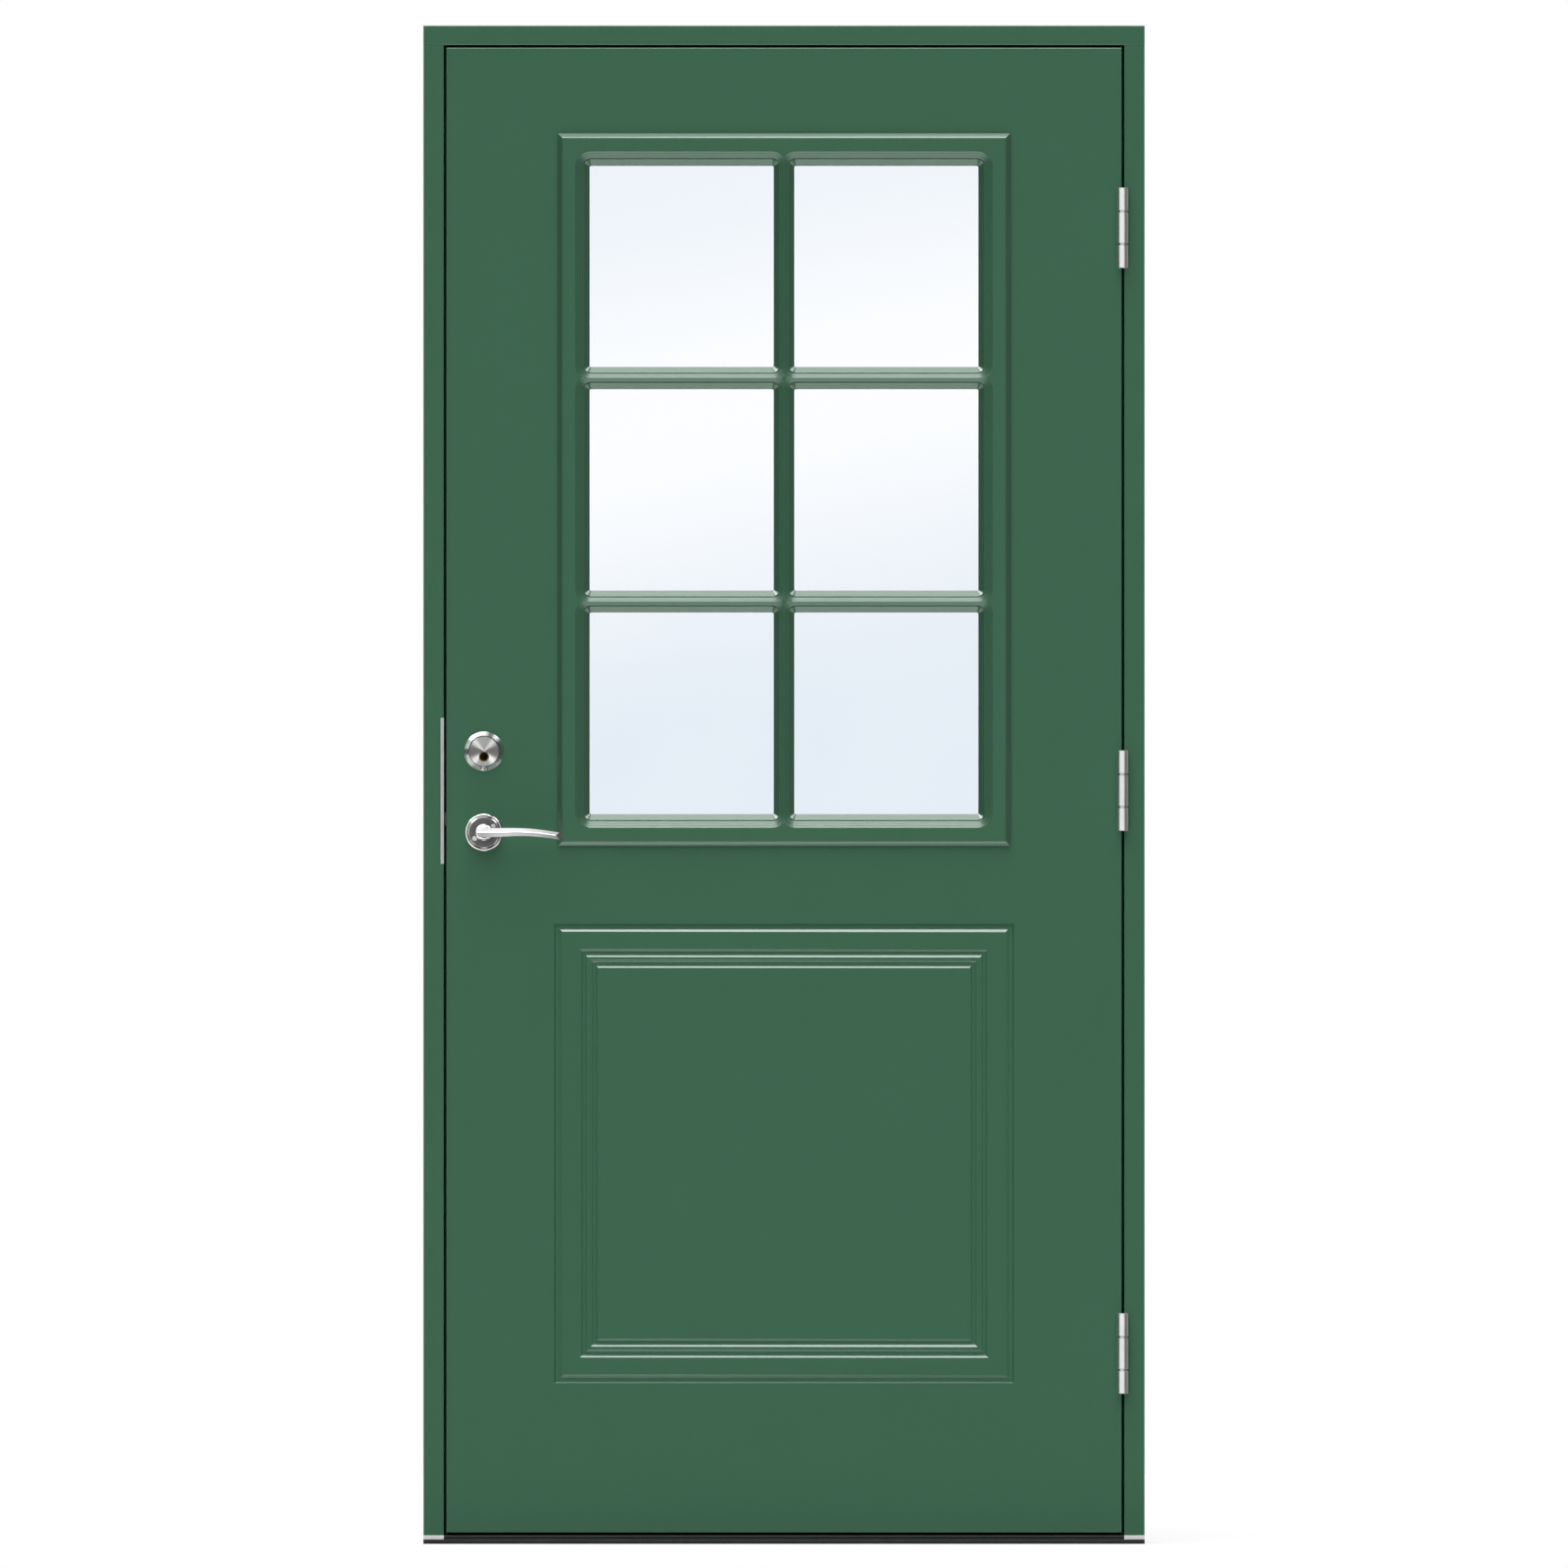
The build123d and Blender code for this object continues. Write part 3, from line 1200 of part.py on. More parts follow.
def leaf_nodes():
    """Every piece that swings with the leaf."""
    hinge_screws, hinge_holes = screws_and_holes(hinge_screw_places(-1))
    forend_screws, forend_holes = screws_and_holes(forend_screw_places())
    cassette_screws, cassette_holes = screws_and_holes(cassette_screw_places())
    rose_screws, rose_holes = screws_and_holes(rose_screw_places())
    heights = hinge_heights()
    pockets = [hinge_pocket(-1, z) for z in heights.values()]
    bores = lock_bores()
    skin = plain_skin()
    cassette = plain_cassette()
    top, bottom = LEAF_TOP - TOP_RAIL, LEAF_BOTTOM + BOTTOM_RAIL
    x0, x1 = LOCK_STILE - LEAF_X, LEAF_X - HINGE_STILE
    lock_stile = block(-LEAF_X, x0, SKIN, CORE_BACK, LEAF_BOTTOM, LEAF_TOP)
    hinge_stile = block(x1, LEAF_X, SKIN, CORE_BACK, LEAF_BOTTOM, LEAF_TOP)
    nodes = {
        "leaf_outer_skin": less(skin, bores + pockets + cassette_holes + rose_holes),
        "leaf_inner_skin": less(mirror(skin, about=MIRROR), bores + cassette_holes + rose_holes),
        "leaf_lock_stile": less(lock_stile, bores + forend_holes + rose_holes),
        "leaf_hinge_stile": less(hinge_stile, pockets + hinge_holes),
        "leaf_top_rail": block(x0, x1, SKIN, CORE_BACK, top, LEAF_TOP),
        "leaf_bottom_rail": block(x0, x1, SKIN, CORE_BACK, LEAF_BOTTOM, bottom),
        "leaf_core": less(core(), cassette_holes),
        "cassette_outer": less(cassette, cassette_holes),
        "cassette_inner": less(mirror(cassette, about=MIRROR), cassette_holes),
        "cassette_screws": Compound(children=cassette_screws),
        "leaf_plate_screws": Compound(children=forend_screws + hinge_screws),
        "lock_case": lock_case(),
        "lock_cover": lock_cover(),
        "lock_forend": forend(forend_holes),
        "handle_rose_screws": Compound(children=rose_screws),
        "cylinder_ring": cylinder_ring(),
        "cylinder_guard": guard_disc(),
        "cylinder_body": cylinder_body(),
    }
    outer_rose = Pos(0, 0, HANDLE_Z) * rose(ROSE_BORE)
    inner_rose = mirror(outer_rose, about=MIRROR)
    turn_rose = mirror(Pos(0, 0, KEY_Z) * rose(THUMB_STEM + JOURNAL_PLAY), about=MIRROR)
    nodes["handle_rose_outer"] = less(outer_rose, rose_holes)
    nodes["handle_rose_inner"] = less(inner_rose, rose_holes)
    nodes["thumb_turn_rose"] = turn_rose
    nodes.update(sealed_unit())
    for name, z in heights.items():
        nodes[f"hinge_{name}_leaf_plate"] = hinge_plate(-1, z, hinge_holes)
    return nodes


def lock_nodes():
    """Every piece that moves on the leaf."""
    outer = lever()
    half_turn = radians(THUMB_TURN / 2)
    return {
        "lever_outer": outer,
        "lever_inner": mirror(outer, about=MIRROR),
        "handle_spindle": spindle(),
        "handle_follower": crank(
            FOLLOWER_RADIUS, HANDLE_CRANK, 0, HANDLE_Z, SPINDLE + 2 * SPINDLE_PLAY
        ),
        "latch_bolt": latch_bolt(),
        "deadbolt": deadbolt(),
        "deadbolt_cam": crank(CAM_RADIUS, THUMB_CRANK, half_turn, KEY_Z, TAIL + 2 * SPINDLE_PLAY),
        "thumb_turn": thumb_knob(),
        "key_plug": key_plug(),
    }


def main():
    os.makedirs("parts", exist_ok=True)
    for nodes in (frame_nodes(), leaf_nodes(), lock_nodes()):
        for name, shape in nodes.items():
            export_step(shape, f"parts/{name}.step")


main()
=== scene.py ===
from math import cos, pi, radians, sin

import bpy
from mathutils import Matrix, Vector

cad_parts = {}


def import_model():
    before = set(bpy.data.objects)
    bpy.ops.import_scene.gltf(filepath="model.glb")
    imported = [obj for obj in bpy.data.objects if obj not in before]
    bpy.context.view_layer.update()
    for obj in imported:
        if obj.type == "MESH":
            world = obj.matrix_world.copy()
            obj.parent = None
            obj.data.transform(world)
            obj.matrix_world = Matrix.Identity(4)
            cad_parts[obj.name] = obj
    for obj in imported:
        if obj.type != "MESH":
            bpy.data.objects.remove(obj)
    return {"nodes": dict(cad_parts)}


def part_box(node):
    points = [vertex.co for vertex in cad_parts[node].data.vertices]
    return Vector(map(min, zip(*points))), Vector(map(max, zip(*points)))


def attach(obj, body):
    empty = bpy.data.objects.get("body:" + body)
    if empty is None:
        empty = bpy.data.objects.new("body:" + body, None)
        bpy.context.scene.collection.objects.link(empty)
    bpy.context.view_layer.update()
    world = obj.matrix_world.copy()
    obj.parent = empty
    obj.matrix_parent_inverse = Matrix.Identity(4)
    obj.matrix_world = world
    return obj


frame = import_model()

# The start-up scene's own objects go before anything is measured
for stray in ("Cube", "Light", "Camera"):
    if stray in bpy.data.objects:
        bpy.data.objects.remove(bpy.data.objects[stray])

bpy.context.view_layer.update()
NODES = frame["nodes"]
MM = 0.001

# Camera: far off on the door's axis, so that lines stay as square as in the photograph
PICTURE_HEIGHT = 2.14784
PICTURE_CENTRE_Z = 1.0408
CAMERA_FAR = 40.0
SENSOR = 36.0

# Lights: (name, azimuth, elevation, angular size, strength, what it acts on); azimuth 0 is straight in
# front and -90 the left, and a light acts on matt surfaces, on gloss, or on one group of pieces
SUNS = (
    ("key", -10, 54, 60, 1.7, "matt"),
    ("fill", 0, 38, 80, 0.6, "matt"),
    ("low", 0, -38, 70, 1.5, "matt"),
    ("strip", -3, 50, 36, 1.65, "gloss"),
    ("edge_left", -62, 45, 24, 1.5, "gloss"),
    ("edge_right", 62, 45, 24, 0.9, "gloss"),
    ("tent", -25, 10, 110, 3.8, "metal"),
    ("ray_left", -40, 33, 20, 2.6, "disc"),
    ("ray_right", 40, 33, 20, 2.4, "disc"),
    ("ray_top", 0, 50, 36, 0.5, "disc"),
)

# Groups of pieces with lights of their own, by how their names begin
GROUPS = {
    "metal": ("lever_", "handle_rose_", "thumb_turn", "hinge_"),
    "disc": ("cylinder_guard",),
}

# Pieces that take nothing from the lights that act on gloss
NO_GLOSS = ("cylinder_guard", "cylinder_ring")

# Glow of the surroundings: in front, to the left and the right, above and above on the right, below,
# and behind the door
FRONT_GLOW = 0.08
LEFT_GLOW = 0.10
RIGHT_GLOW = 0.22
TOP_GLOW = 2.2
TOP_RIGHT_GLOW = 0.12
BOTTOM_GLOW = 0.30
BACK_GLOW = 1.0

# Soft boxes that only gloss shows: one almost underfoot, one lower down in front
UNDER_GLOW = 2.8
AHEAD_GLOW = 1.7

# Where each part of the surroundings begins and ends, as a share of the way to the right, to the back or up
BACK_EDGE = (-0.05, 0.10)
BACK_LEAN = 0.13
LEFT_EDGE = (-0.8, -0.45)
RIGHT_EDGE = (0.45, 0.8)
TOP_EDGE = (0.7, 0.9)
TOP_SIDE = (0.0, 0.35)
BOTTOM_EDGE = (-0.97, -0.85)
FLAG_SIDE = (-0.97, -0.90)
FLAG_EDGE = (0.12, 0.24)
FLAG_DROP = 0.03
UNDER_RISE = (-1.02, -0.955)
UNDER_FALL = (-0.92, -0.89)
UNDER_SIDE = (0.07, 0.22)
AHEAD_RISE = (-0.80, -0.72)
AHEAD_FALL = (-0.50, -0.38)
AHEAD_DEPTH = (-0.2, 0.0)

# Floor: half its width, how far it goes in front of and behind the door, and its own white in the camera
FLOOR_HALF = 3.0
FLOOR_FRONT = 0.08
FLOOR_BACK = 4.0
FLOOR_WHITE = 0.7

# Hub of each lever: its radius, the radius where its dome ends, the gap to the rose, the height of its
# straight side and of its dome, and how finely it is turned
HUB_RADIUS = 12.3 * MM
HUB_TIP = 5.0 * MM
HUB_GAP = 0.4 * MM
HUB_SIDE = 13.0 * MM
HUB_DOME = 5.0 * MM
HUB_RINGS = 16
HUB_STEPS = 96

# Roses: the width of the polished rim, the groove turned in it, out from where the rim begins, and the edges
# of the painted shade along that groove
ROSE_RIM = 5.4 * MM
GROOVE = 2.5 * MM
GROOVE_SHADE_EDGE = (0.4 * MM, 0.8 * MM)

# Key plug: where its rim of plain bright brass begins and where it is fully bright, round the face painted
# dark as the keyhole's shade
PLUG_RIM = (5.2 * MM, 5.7 * MM)

# Eased edges: the nodes that have them, their width, how sharp an edge is eased, and the gap closed first
EASED = (
    "cassette_outer",
    "cassette_inner",
    "leaf_outer_skin",
    "frame_head",
    "frame_jamb_lock",
    "frame_jamb_hinge",
)
EASE_WIDTH = 0.5 * MM
EASE_ANGLE = 25
EASE_SEGMENTS = 2
EASE_JOIN = 0.001 * MM

# Paint as linear red, green and blue
GREEN = (0.0375, 0.127, 0.0685)

# Grain of polished chrome
POLISHED = {"spread": 0.04, "depth": 0.0005 * MM}


# Node helpers


def feed(tree, node, inputs):
    """Set a node's inputs: sockets are linked, anything else is a constant."""
    for key, value in inputs.items():
        if isinstance(value, bpy.types.NodeSocket):
            tree.links.new(value, node.inputs[key])
        else:
            node.inputs[key].default_value = value


def add(tree, kind, inputs=None, **settings):
    """A new node with its settings and inputs."""
    node = tree.nodes.new(kind)
    for key, value in settings.items():
        setattr(node, key, value)
    feed(tree, node, inputs or {})
    return node


def maths(tree, operation, a, b=0.0):
    """One step of arithmetic."""
    return add(tree, "ShaderNodeMath", {0: a, 1: b}, operation=operation).outputs[0]


def span(tree, value, low, high, start=0.0, end=1.0):
    """A value between low and high brought smoothly to start and end."""
    inputs = {"Value": value, "From Min": low, "From Max": high, "To Min": start, "To Max": end}
    return add(tree, "ShaderNodeMapRange", inputs, interpolation_type="SMOOTHSTEP").outputs[0]


def fade(tree, value, low, high, start=1.0):
    """A value between low and high brought smoothly from start to nothing."""
    return span(tree, value, low, high, start, 0.0)


def place(tree):
    """The point on the part, in metres."""
    return add(tree, "ShaderNodeTexCoord").outputs["Object"]


def stretched(tree, scale):
    """The point on the part, scaled along each axis."""
    return add(tree, "ShaderNodeMapping", {"Vector": place(tree), "Scale": scale}).outputs[0]


def from_axis(tree, x, z):
    """Distance from an axis along Y through (x, z)."""
    split = add(tree, "ShaderNodeSeparateXYZ", {0: place(tree)})
    across = maths(tree, "SUBTRACT", split.outputs["X"], x)
    upward = maths(tree, "SUBTRACT", split.outputs["Z"], z)
    square = maths(tree, "ADD", maths(tree, "POWER", across, 2.0), maths(tree, "POWER", upward, 2.0))
    return maths(tree, "SQRT", square)


def noise(tree, scale, detail=2.0, vector=None):
    """Soft noise from 0 to 1, with scale in waves a metre."""
    inputs = {"Vector": vector or place(tree), "Scale": scale, "Detail": detail}
    return add(tree, "ShaderNodeTexNoise", inputs).outputs["Fac"]


def blend(tree, share, first, second):
    """A colour between two others."""
    node = add(tree, "ShaderNodeMix", data_type="RGBA")
    feed(tree, node, {0: share, 6: first, 7: second})
    return node.outputs[2]


def between(tree, share, first, second):
    """A number between two others."""
    node = add(tree, "ShaderNodeMix", data_type="FLOAT")
    feed(tree, node, {0: share, 2: first, 3: second})
    return node.outputs[0]


def bump(tree, height, distance):
    """A normal from a height map, with its depth in metres."""
    return add(tree, "ShaderNodeBump", {"Height": height, "Distance": distance}).outputs[0]


def opaque(colour, scale=1.0):
    """A colour with full alpha."""
    return (*[channel * scale for channel in colour], 1.0)


def grey(tone):
    """A grey with full alpha."""
    return (tone, tone, tone, 1.0)


def shader(name, inputs):
    """A new material and its tree, with constants set on the shader itself."""
    material = bpy.data.materials.new(name)
    material.use_nodes = True
    tree = material.node_tree
    feed(tree, tree.nodes["Principled BSDF"], inputs)
    return material, tree, tree.nodes["Principled BSDF"]


# Materials


def paint(name, colour, rough=0.22, painted_side_shade=1.0):
    """Sprayed paint: an even coat with the faintest mottle, pigment specks and orange peel, and, when asked,
    painted shade darkening the faces turned left or right.
    """
    material, tree, surface = shader(name, {"Specular IOR Level": 1.0})
    mottle = noise(tree, 9.0, 3.0)
    mottle_and_side_shade = blend(tree, span(tree, mottle, 0.3, 0.7), opaque(colour, 0.993), opaque(colour, 1.007))
    # Painted shade: faces turned left or right are darkened toward this share of the colour.
    if painted_side_shade < 1.0:
        mottle_and_side_shade = blend(tree, side_shade_mask(tree), mottle_and_side_shade, opaque(colour, painted_side_shade))
    speck = span(tree, noise(tree, 5200.0, 1.0), 0.68, 0.75, 0.0, 0.25)
    peel = noise(tree, 2600.0, 1.0)
    feed(tree, surface, {
        "Base Color": blend(tree, speck, mottle_and_side_shade, opaque(colour, 1.10)),
        "Roughness": span(tree, noise(tree, 60.0), 0.3, 0.7, rough - 0.01, rough + 0.01),
        "Normal": bump(tree, peel, 0.0006 * MM),
    })
    return material


def side_shade_mask(tree):
    """How far a face turns to its own left or right, which sets how much painted shade it takes."""
    normal = add(tree, "ShaderNodeTexCoord").outputs["Normal"]
    across = add(tree, "ShaderNodeSeparateXYZ", {0: normal}).outputs["X"]
    return span(tree, maths(tree, "ABSOLUTE", across), 0.12, 0.5)


def metal(name, colour, rough, grain=(900.0, 900.0, 900.0), depth=0.002 * MM, spread=0.06, metallic=1.0):
    """Metal with a fine grain that follows the stretch given, and a little tarnish."""
    material, tree, surface = shader(name, {"Metallic": metallic})
    lines = noise(tree, 1.0, 3.0, stretched(tree, grain))
    stain = noise(tree, 35.0, 4.0)
    feed(tree, surface, {
        "Base Color": blend(tree, span(tree, stain, 0.3, 0.75), opaque(colour), opaque(colour, 0.9)),
        "Roughness": span(tree, lines, 0.25, 0.75, rough, rough + spread),
        "Normal": bump(tree, lines, depth),
    })
    return material


def hinge_steel():
    """Satin steel, drawn along the knuckles."""
    material = metal("hinge_steel", (0.44, 0.44, 0.435), 0.30, (2600.0, 2600.0, 60.0))
    surface = material.node_tree.nodes["Principled BSDF"]
    surface.inputs["Anisotropic"].default_value = 0.4
    return material


def rose_chrome(name, x, z, rim):
    """Polished rim with painted shade darkening its groove, round a finely pebbled face."""
    material, tree, surface = shader(name, {"Metallic": 1.0})
    radius = from_axis(tree, x, z)
    face = fade(tree, radius, rim - 0.4 * MM, rim)
    # Painted shade: a dark ring where the groove is turned in the rim.
    groove = maths(tree, "ABSOLUTE", maths(tree, "SUBTRACT", radius, rim + GROOVE))
    bright = blend(tree, span(tree, groove, *GROOVE_SHADE_EDGE), grey(0.10), (0.48, 0.48, 0.475, 1.0))
    pebble = noise(tree, 2400.0, 3.0)
    pits = span(tree, pebble, 0.35, 0.65)
    dark = blend(tree, pits, (0.035, 0.035, 0.036, 1.0), (0.095, 0.095, 0.096, 1.0))
    polish = span(tree, noise(tree, 160.0), 0.3, 0.7, 0.06, 0.12)
    feed(tree, surface, {
        "Base Color": blend(tree, face, bright, dark),
        "Roughness": maths(tree, "ADD", maths(tree, "MULTIPLY", face, 0.3), polish),
        "Normal": bump(tree, maths(tree, "MULTIPLY", pebble, face), 0.12 * MM),
    })
    return material


def brushed_disc(x, z):
    """Steel brushed in circles, which throws the light into crossed rays."""
    material, tree, surface = shader("disc_steel", {"Metallic": 0.85, "Anisotropic": 0.9})
    turns = maths(tree, "MULTIPLY", from_axis(tree, x, z), 9000.0)
    rings = add(tree, "ShaderNodeTexNoise", {"W": turns, "Scale": 1.0}, noise_dimensions="1D").outputs["Fac"]
    brush = span(tree, rings, 0.3, 0.7)
    centred = add(tree, "ShaderNodeMapping", {"Vector": place(tree), "Location": (-x, 0.0, -z)}).outputs[0]
    flat = {0: centred, 1: (1.0, 0.0, 1.0)}
    outward = add(tree, "ShaderNodeVectorMath", flat, operation="MULTIPLY").outputs[0]
    feed(tree, surface, {
        "Base Color": blend(tree, brush, (0.46, 0.46, 0.45, 1.0), (0.58, 0.58, 0.57, 1.0)),
        "Roughness": span(tree, rings, 0.3, 0.7, 0.40, 0.46),
        "Normal": bump(tree, rings, 0.004 * MM),
        "Tangent": add(tree, "ShaderNodeVectorMath", {0: outward}, operation="NORMALIZE").outputs[0],
    })
    return material


def plug_brass(x, z):
    """Brass of the key plug: its face painted dark as the shade down in the keyhole, and plain bright brass
    at its rim.
    """
    material, tree, surface = shader("plug_brass", {"Metallic": 1.0})
    rim = span(tree, from_axis(tree, x, z), *PLUG_RIM)
    scratch = noise(tree, 1.0, 3.0, stretched(tree, (900.0, 900.0, 2600.0)))
    worn = span(tree, scratch, 0.45, 0.8)
    # Painted shade: the face inside the rim is near black, and a little lighter along its scratches.
    dark = blend(tree, worn, (0.040, 0.022, 0.002, 1.0), (0.22, 0.15, 0.02, 1.0))
    feed(tree, surface, {
        "Base Color": blend(tree, rim, dark, (0.80, 0.66, 0.26, 1.0)),
        "Roughness": span(tree, scratch, 0.3, 0.7, 0.18, 0.34),
        "Normal": bump(tree, scratch, 0.012 * MM),
    })
    return material


def rubber():
    """Matt sealing rubber with a bloom of dust."""
    material, tree, surface = shader("seal_rubber", {"Roughness": 0.62, "Specular IOR Level": 0.4})
    dust = span(tree, noise(tree, 140.0, 4.0), 0.4, 0.75)
    feed(tree, surface, {
        "Base Color": blend(tree, dust, grey(0.012), (0.030, 0.030, 0.029, 1.0)),
        "Normal": bump(tree, noise(tree, 1600.0), 0.04 * MM),
    })
    return material


def dark_anodised():
    """Dark anodised aluminium, drawn along the threshold."""
    material, tree, surface = shader("threshold_dark", {"Metallic": 0.55})
    lines = noise(tree, 1.0, 3.0, stretched(tree, (30.0, 2200.0, 2200.0)))
    drawn = span(tree, lines, 0.3, 0.7)
    feed(tree, surface, {
        "Base Color": blend(tree, drawn, (0.012, 0.014, 0.013, 1.0), (0.026, 0.030, 0.028, 1.0)),
        "Roughness": span(tree, lines, 0.3, 0.7, 0.34, 0.46),
        "Normal": bump(tree, lines, 0.006 * MM),
    })
    return material


def moulded(name, colour, rough, grain_scale):
    """A plain moulded plastic or foam with a fine grain."""
    material, tree, surface = shader(name, {"Specular IOR Level": 0.4})
    grain = noise(tree, grain_scale, 3.0)
    feed(tree, surface, {
        "Base Color": blend(tree, span(tree, grain, 0.3, 0.7), opaque(colour, 0.93), opaque(colour, 1.04)),
        "Roughness": span(tree, noise(tree, 90.0), 0.3, 0.7, rough - 0.06, rough + 0.06),
        "Normal": bump(tree, grain, 0.03 * MM),
    })
    return material


def glass():
    """Clear panes with a painted reflection: a faint cool cast, deeper in the lowest lights and again at the
    upper left.
    """
    constants = {"Roughness": 0.0, "IOR": 1.2, "Transmission Weight": 1.0}
    material, tree, surface = shader("glass", constants)
    split = add(tree, "ShaderNodeSeparateXYZ", {0: place(tree)})
    # Painted reflection: the cool cast rises toward the lowest panes and toward the upper left, broken up by
    # soft noise.
    slant = maths(tree, "SUBTRACT", split.outputs["Z"], maths(tree, "MULTIPLY", split.outputs["X"], 0.2))
    low = fade(tree, slant, 1.12, 1.56)
    high = span(tree, slant, 1.58, 1.92, 0.0, 0.6)
    reflection_breakup = span(tree, noise(tree, 4.0, 2.0), 0.35, 0.65, 0.93, 1.0)
    share = maths(tree, "MULTIPLY", maths(tree, "MAXIMUM", low, high), reflection_breakup)
    feed(tree, surface, {
        "Base Color": blend(tree, share, (0.988, 0.992, 0.998, 1.0), (0.916, 0.942, 0.969, 1.0)),
    })
    return material


def finishes():
    """Every slot's material by name."""
    drawn = (2000.0, 2000.0, 50.0)
    return {
        "frame_paint": paint("frame_paint", GREEN),
        "leaf_paint": paint("leaf_paint", GREEN),
        # The cassette's faces turned left or right take painted shade, at 0.62 of the green.
        "cassette_paint": paint("cassette_paint", GREEN, 0.24, 0.62),
        "edge_paint": paint("edge_paint", GREEN, 0.33),
        "insulation": moulded("insulation", (0.62, 0.54, 0.36), 0.85, 900.0),
        "threshold_dark": dark_anodised(),
        "packer": moulded("packer", (0.86, 0.86, 0.84), 0.45, 1500.0),
        "seal_rubber": rubber(),
        "strike_steel": metal("strike_steel", (0.60, 0.60, 0.61), 0.36, drawn, metallic=0.5),
        "fixing_steel": metal("fixing_steel", (0.66, 0.66, 0.63), 0.24),
        "hinge_steel": hinge_steel(),
        "lock_steel": metal("lock_steel", (0.48, 0.48, 0.47), 0.34, (80.0, 2000.0, 2000.0)),
        "bolt_steel": metal("bolt_steel", (0.68, 0.67, 0.63), 0.20, (60.0, 2400.0, 2400.0)),
        "handle_chrome": metal("handle_chrome", (0.43, 0.43, 0.43), 0.13, **POLISHED),
        "disc_steel": brushed_disc(*axis_of("cylinder_guard")),
        "cylinder_brass": metal("cylinder_brass", (0.36, 0.25, 0.06), 0.22, (1800.0, 90.0, 1800.0)),
        "glass": glass(),
        "spacer": metal("spacer", (0.66, 0.67, 0.69), 0.38),
    }


def axis_of(node):
    """The x and z of a round node's axis."""
    low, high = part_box(node)
    return (low.x + high.x) / 2, (low.z + high.z) / 2


def refinish(name, material):
    """Give one node a finish of its own."""
    NODES[name].material_slots[0].material = material


def dress():
    """Give every CAD node its finish."""
    made = finishes()
    for node in NODES.values():
        for held in node.material_slots:
            held.material = made[held.material.name.split(".")[0]]
    for name in ("handle_rose_outer", "handle_rose_inner", "thumb_turn_rose"):
        low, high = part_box(name)
        rim = (high.x - low.x) / 2 - ROSE_RIM
        refinish(name, rose_chrome(f"{name}_chrome", *axis_of(name), rim))
    for name in ("handle_rose_screws", "hinge_washers"):
        refinish(name, metal(f"{name}_steel", (0.33, 0.33, 0.32), 0.24))
    refinish("cylinder_ring", metal("ring_chrome", (0.86, 0.86, 0.86), 0.12, **POLISHED))
    refinish("key_plug", plug_brass(*axis_of("key_plug")))


# Pieces


def turned_mesh(name, profile, axis, steps):
    """A mesh turned about an axis along Y through (x, z), from (radius, y) points."""
    x, z = axis
    points = []
    for step in range(steps):
        angle = 2 * pi * step / steps
        points += [(x + radius * cos(angle), y, z + radius * sin(angle)) for radius, y in profile]
    count = len(profile)
    faces = []
    for step in range(steps):
        here, there = step * count, (step + 1) % steps * count
        faces += [(here + i, here + i + 1, there + i + 1, there + i) for i in range(count - 1)]
    mesh = bpy.data.meshes.new(name)
    mesh.from_pydata(points, [], faces)
    mesh.shade_smooth()
    return mesh


def lever_hub(name, foot, outward, seat, material):
    """Domed hub round a lever's neck, over its collar."""
    outline = [(0.0, foot), (HUB_RADIUS, foot)]
    for step in range(HUB_RINGS + 1):
        turn = pi / 2 * step / HUB_RINGS
        radius = HUB_TIP + (HUB_RADIUS - HUB_TIP) * cos(turn)
        outline.append((radius, foot + outward * (HUB_SIDE + HUB_DOME * sin(turn))))
    outline.append((0.0, foot + outward * (HUB_SIDE + HUB_DOME)))
    hub = bpy.data.objects.new(name, turned_mesh(name, outline, seat, HUB_STEPS))
    hub.data.materials.append(material)
    bpy.context.scene.collection.objects.link(hub)
    bpy.data.collections["metal"].objects.link(hub)
    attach(hub, "handle")


def lever_hubs():
    """The two hubs, each seated on its lever's collar."""
    chrome = metal("hub_chrome", (0.50, 0.50, 0.50), 0.26, **POLISHED)
    for side, outward in (("outer", -1), ("inner", 1)):
        rose = f"handle_rose_{side}"
        low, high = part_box(rose)
        face = low.y if side == "outer" else high.y
        lever_hub(f"lever_hub_{side}", face + outward * HUB_GAP, outward, axis_of(rose), chrome)


def soften(name):
    """Ease a node's sharp edges, as paint and tumbling do."""
    node = NODES[name]
    node.modifiers.new("join", "WELD").merge_threshold = EASE_JOIN
    bevel = node.modifiers.new("ease", "BEVEL")
    bevel.width = EASE_WIDTH
    bevel.segments = EASE_SEGMENTS
    bevel.limit_method = "ANGLE"
    bevel.angle_limit = radians(EASE_ANGLE)
    bevel.harden_normals = False
    normals = node.modifiers.new("shade", "WEIGHTED_NORMAL")
    normals.keep_sharp = False
    normals.weight = 100


# Stage


def aim(obj, towards):
    """Point an object's -Z along a direction."""
    obj.rotation_euler = Vector(towards).to_track_quat("-Z", "Y").to_euler()


def only(group, starts):
    """A collection of the nodes whose names begin in one of these ways."""
    held = bpy.data.collections.new(group)
    for name, node in NODES.items():
        if name.startswith(starts):
            held.objects.link(node)
    return held


def all_but(names):
    """A collection that stands for everything except these nodes."""
    held = bpy.data.collections.new("all_but_cylinder")
    for name in names:
        held.objects.link(NODES[name])
    for member in held.collection_objects:
        member.light_linking.link_state = "EXCLUDE"
    return held


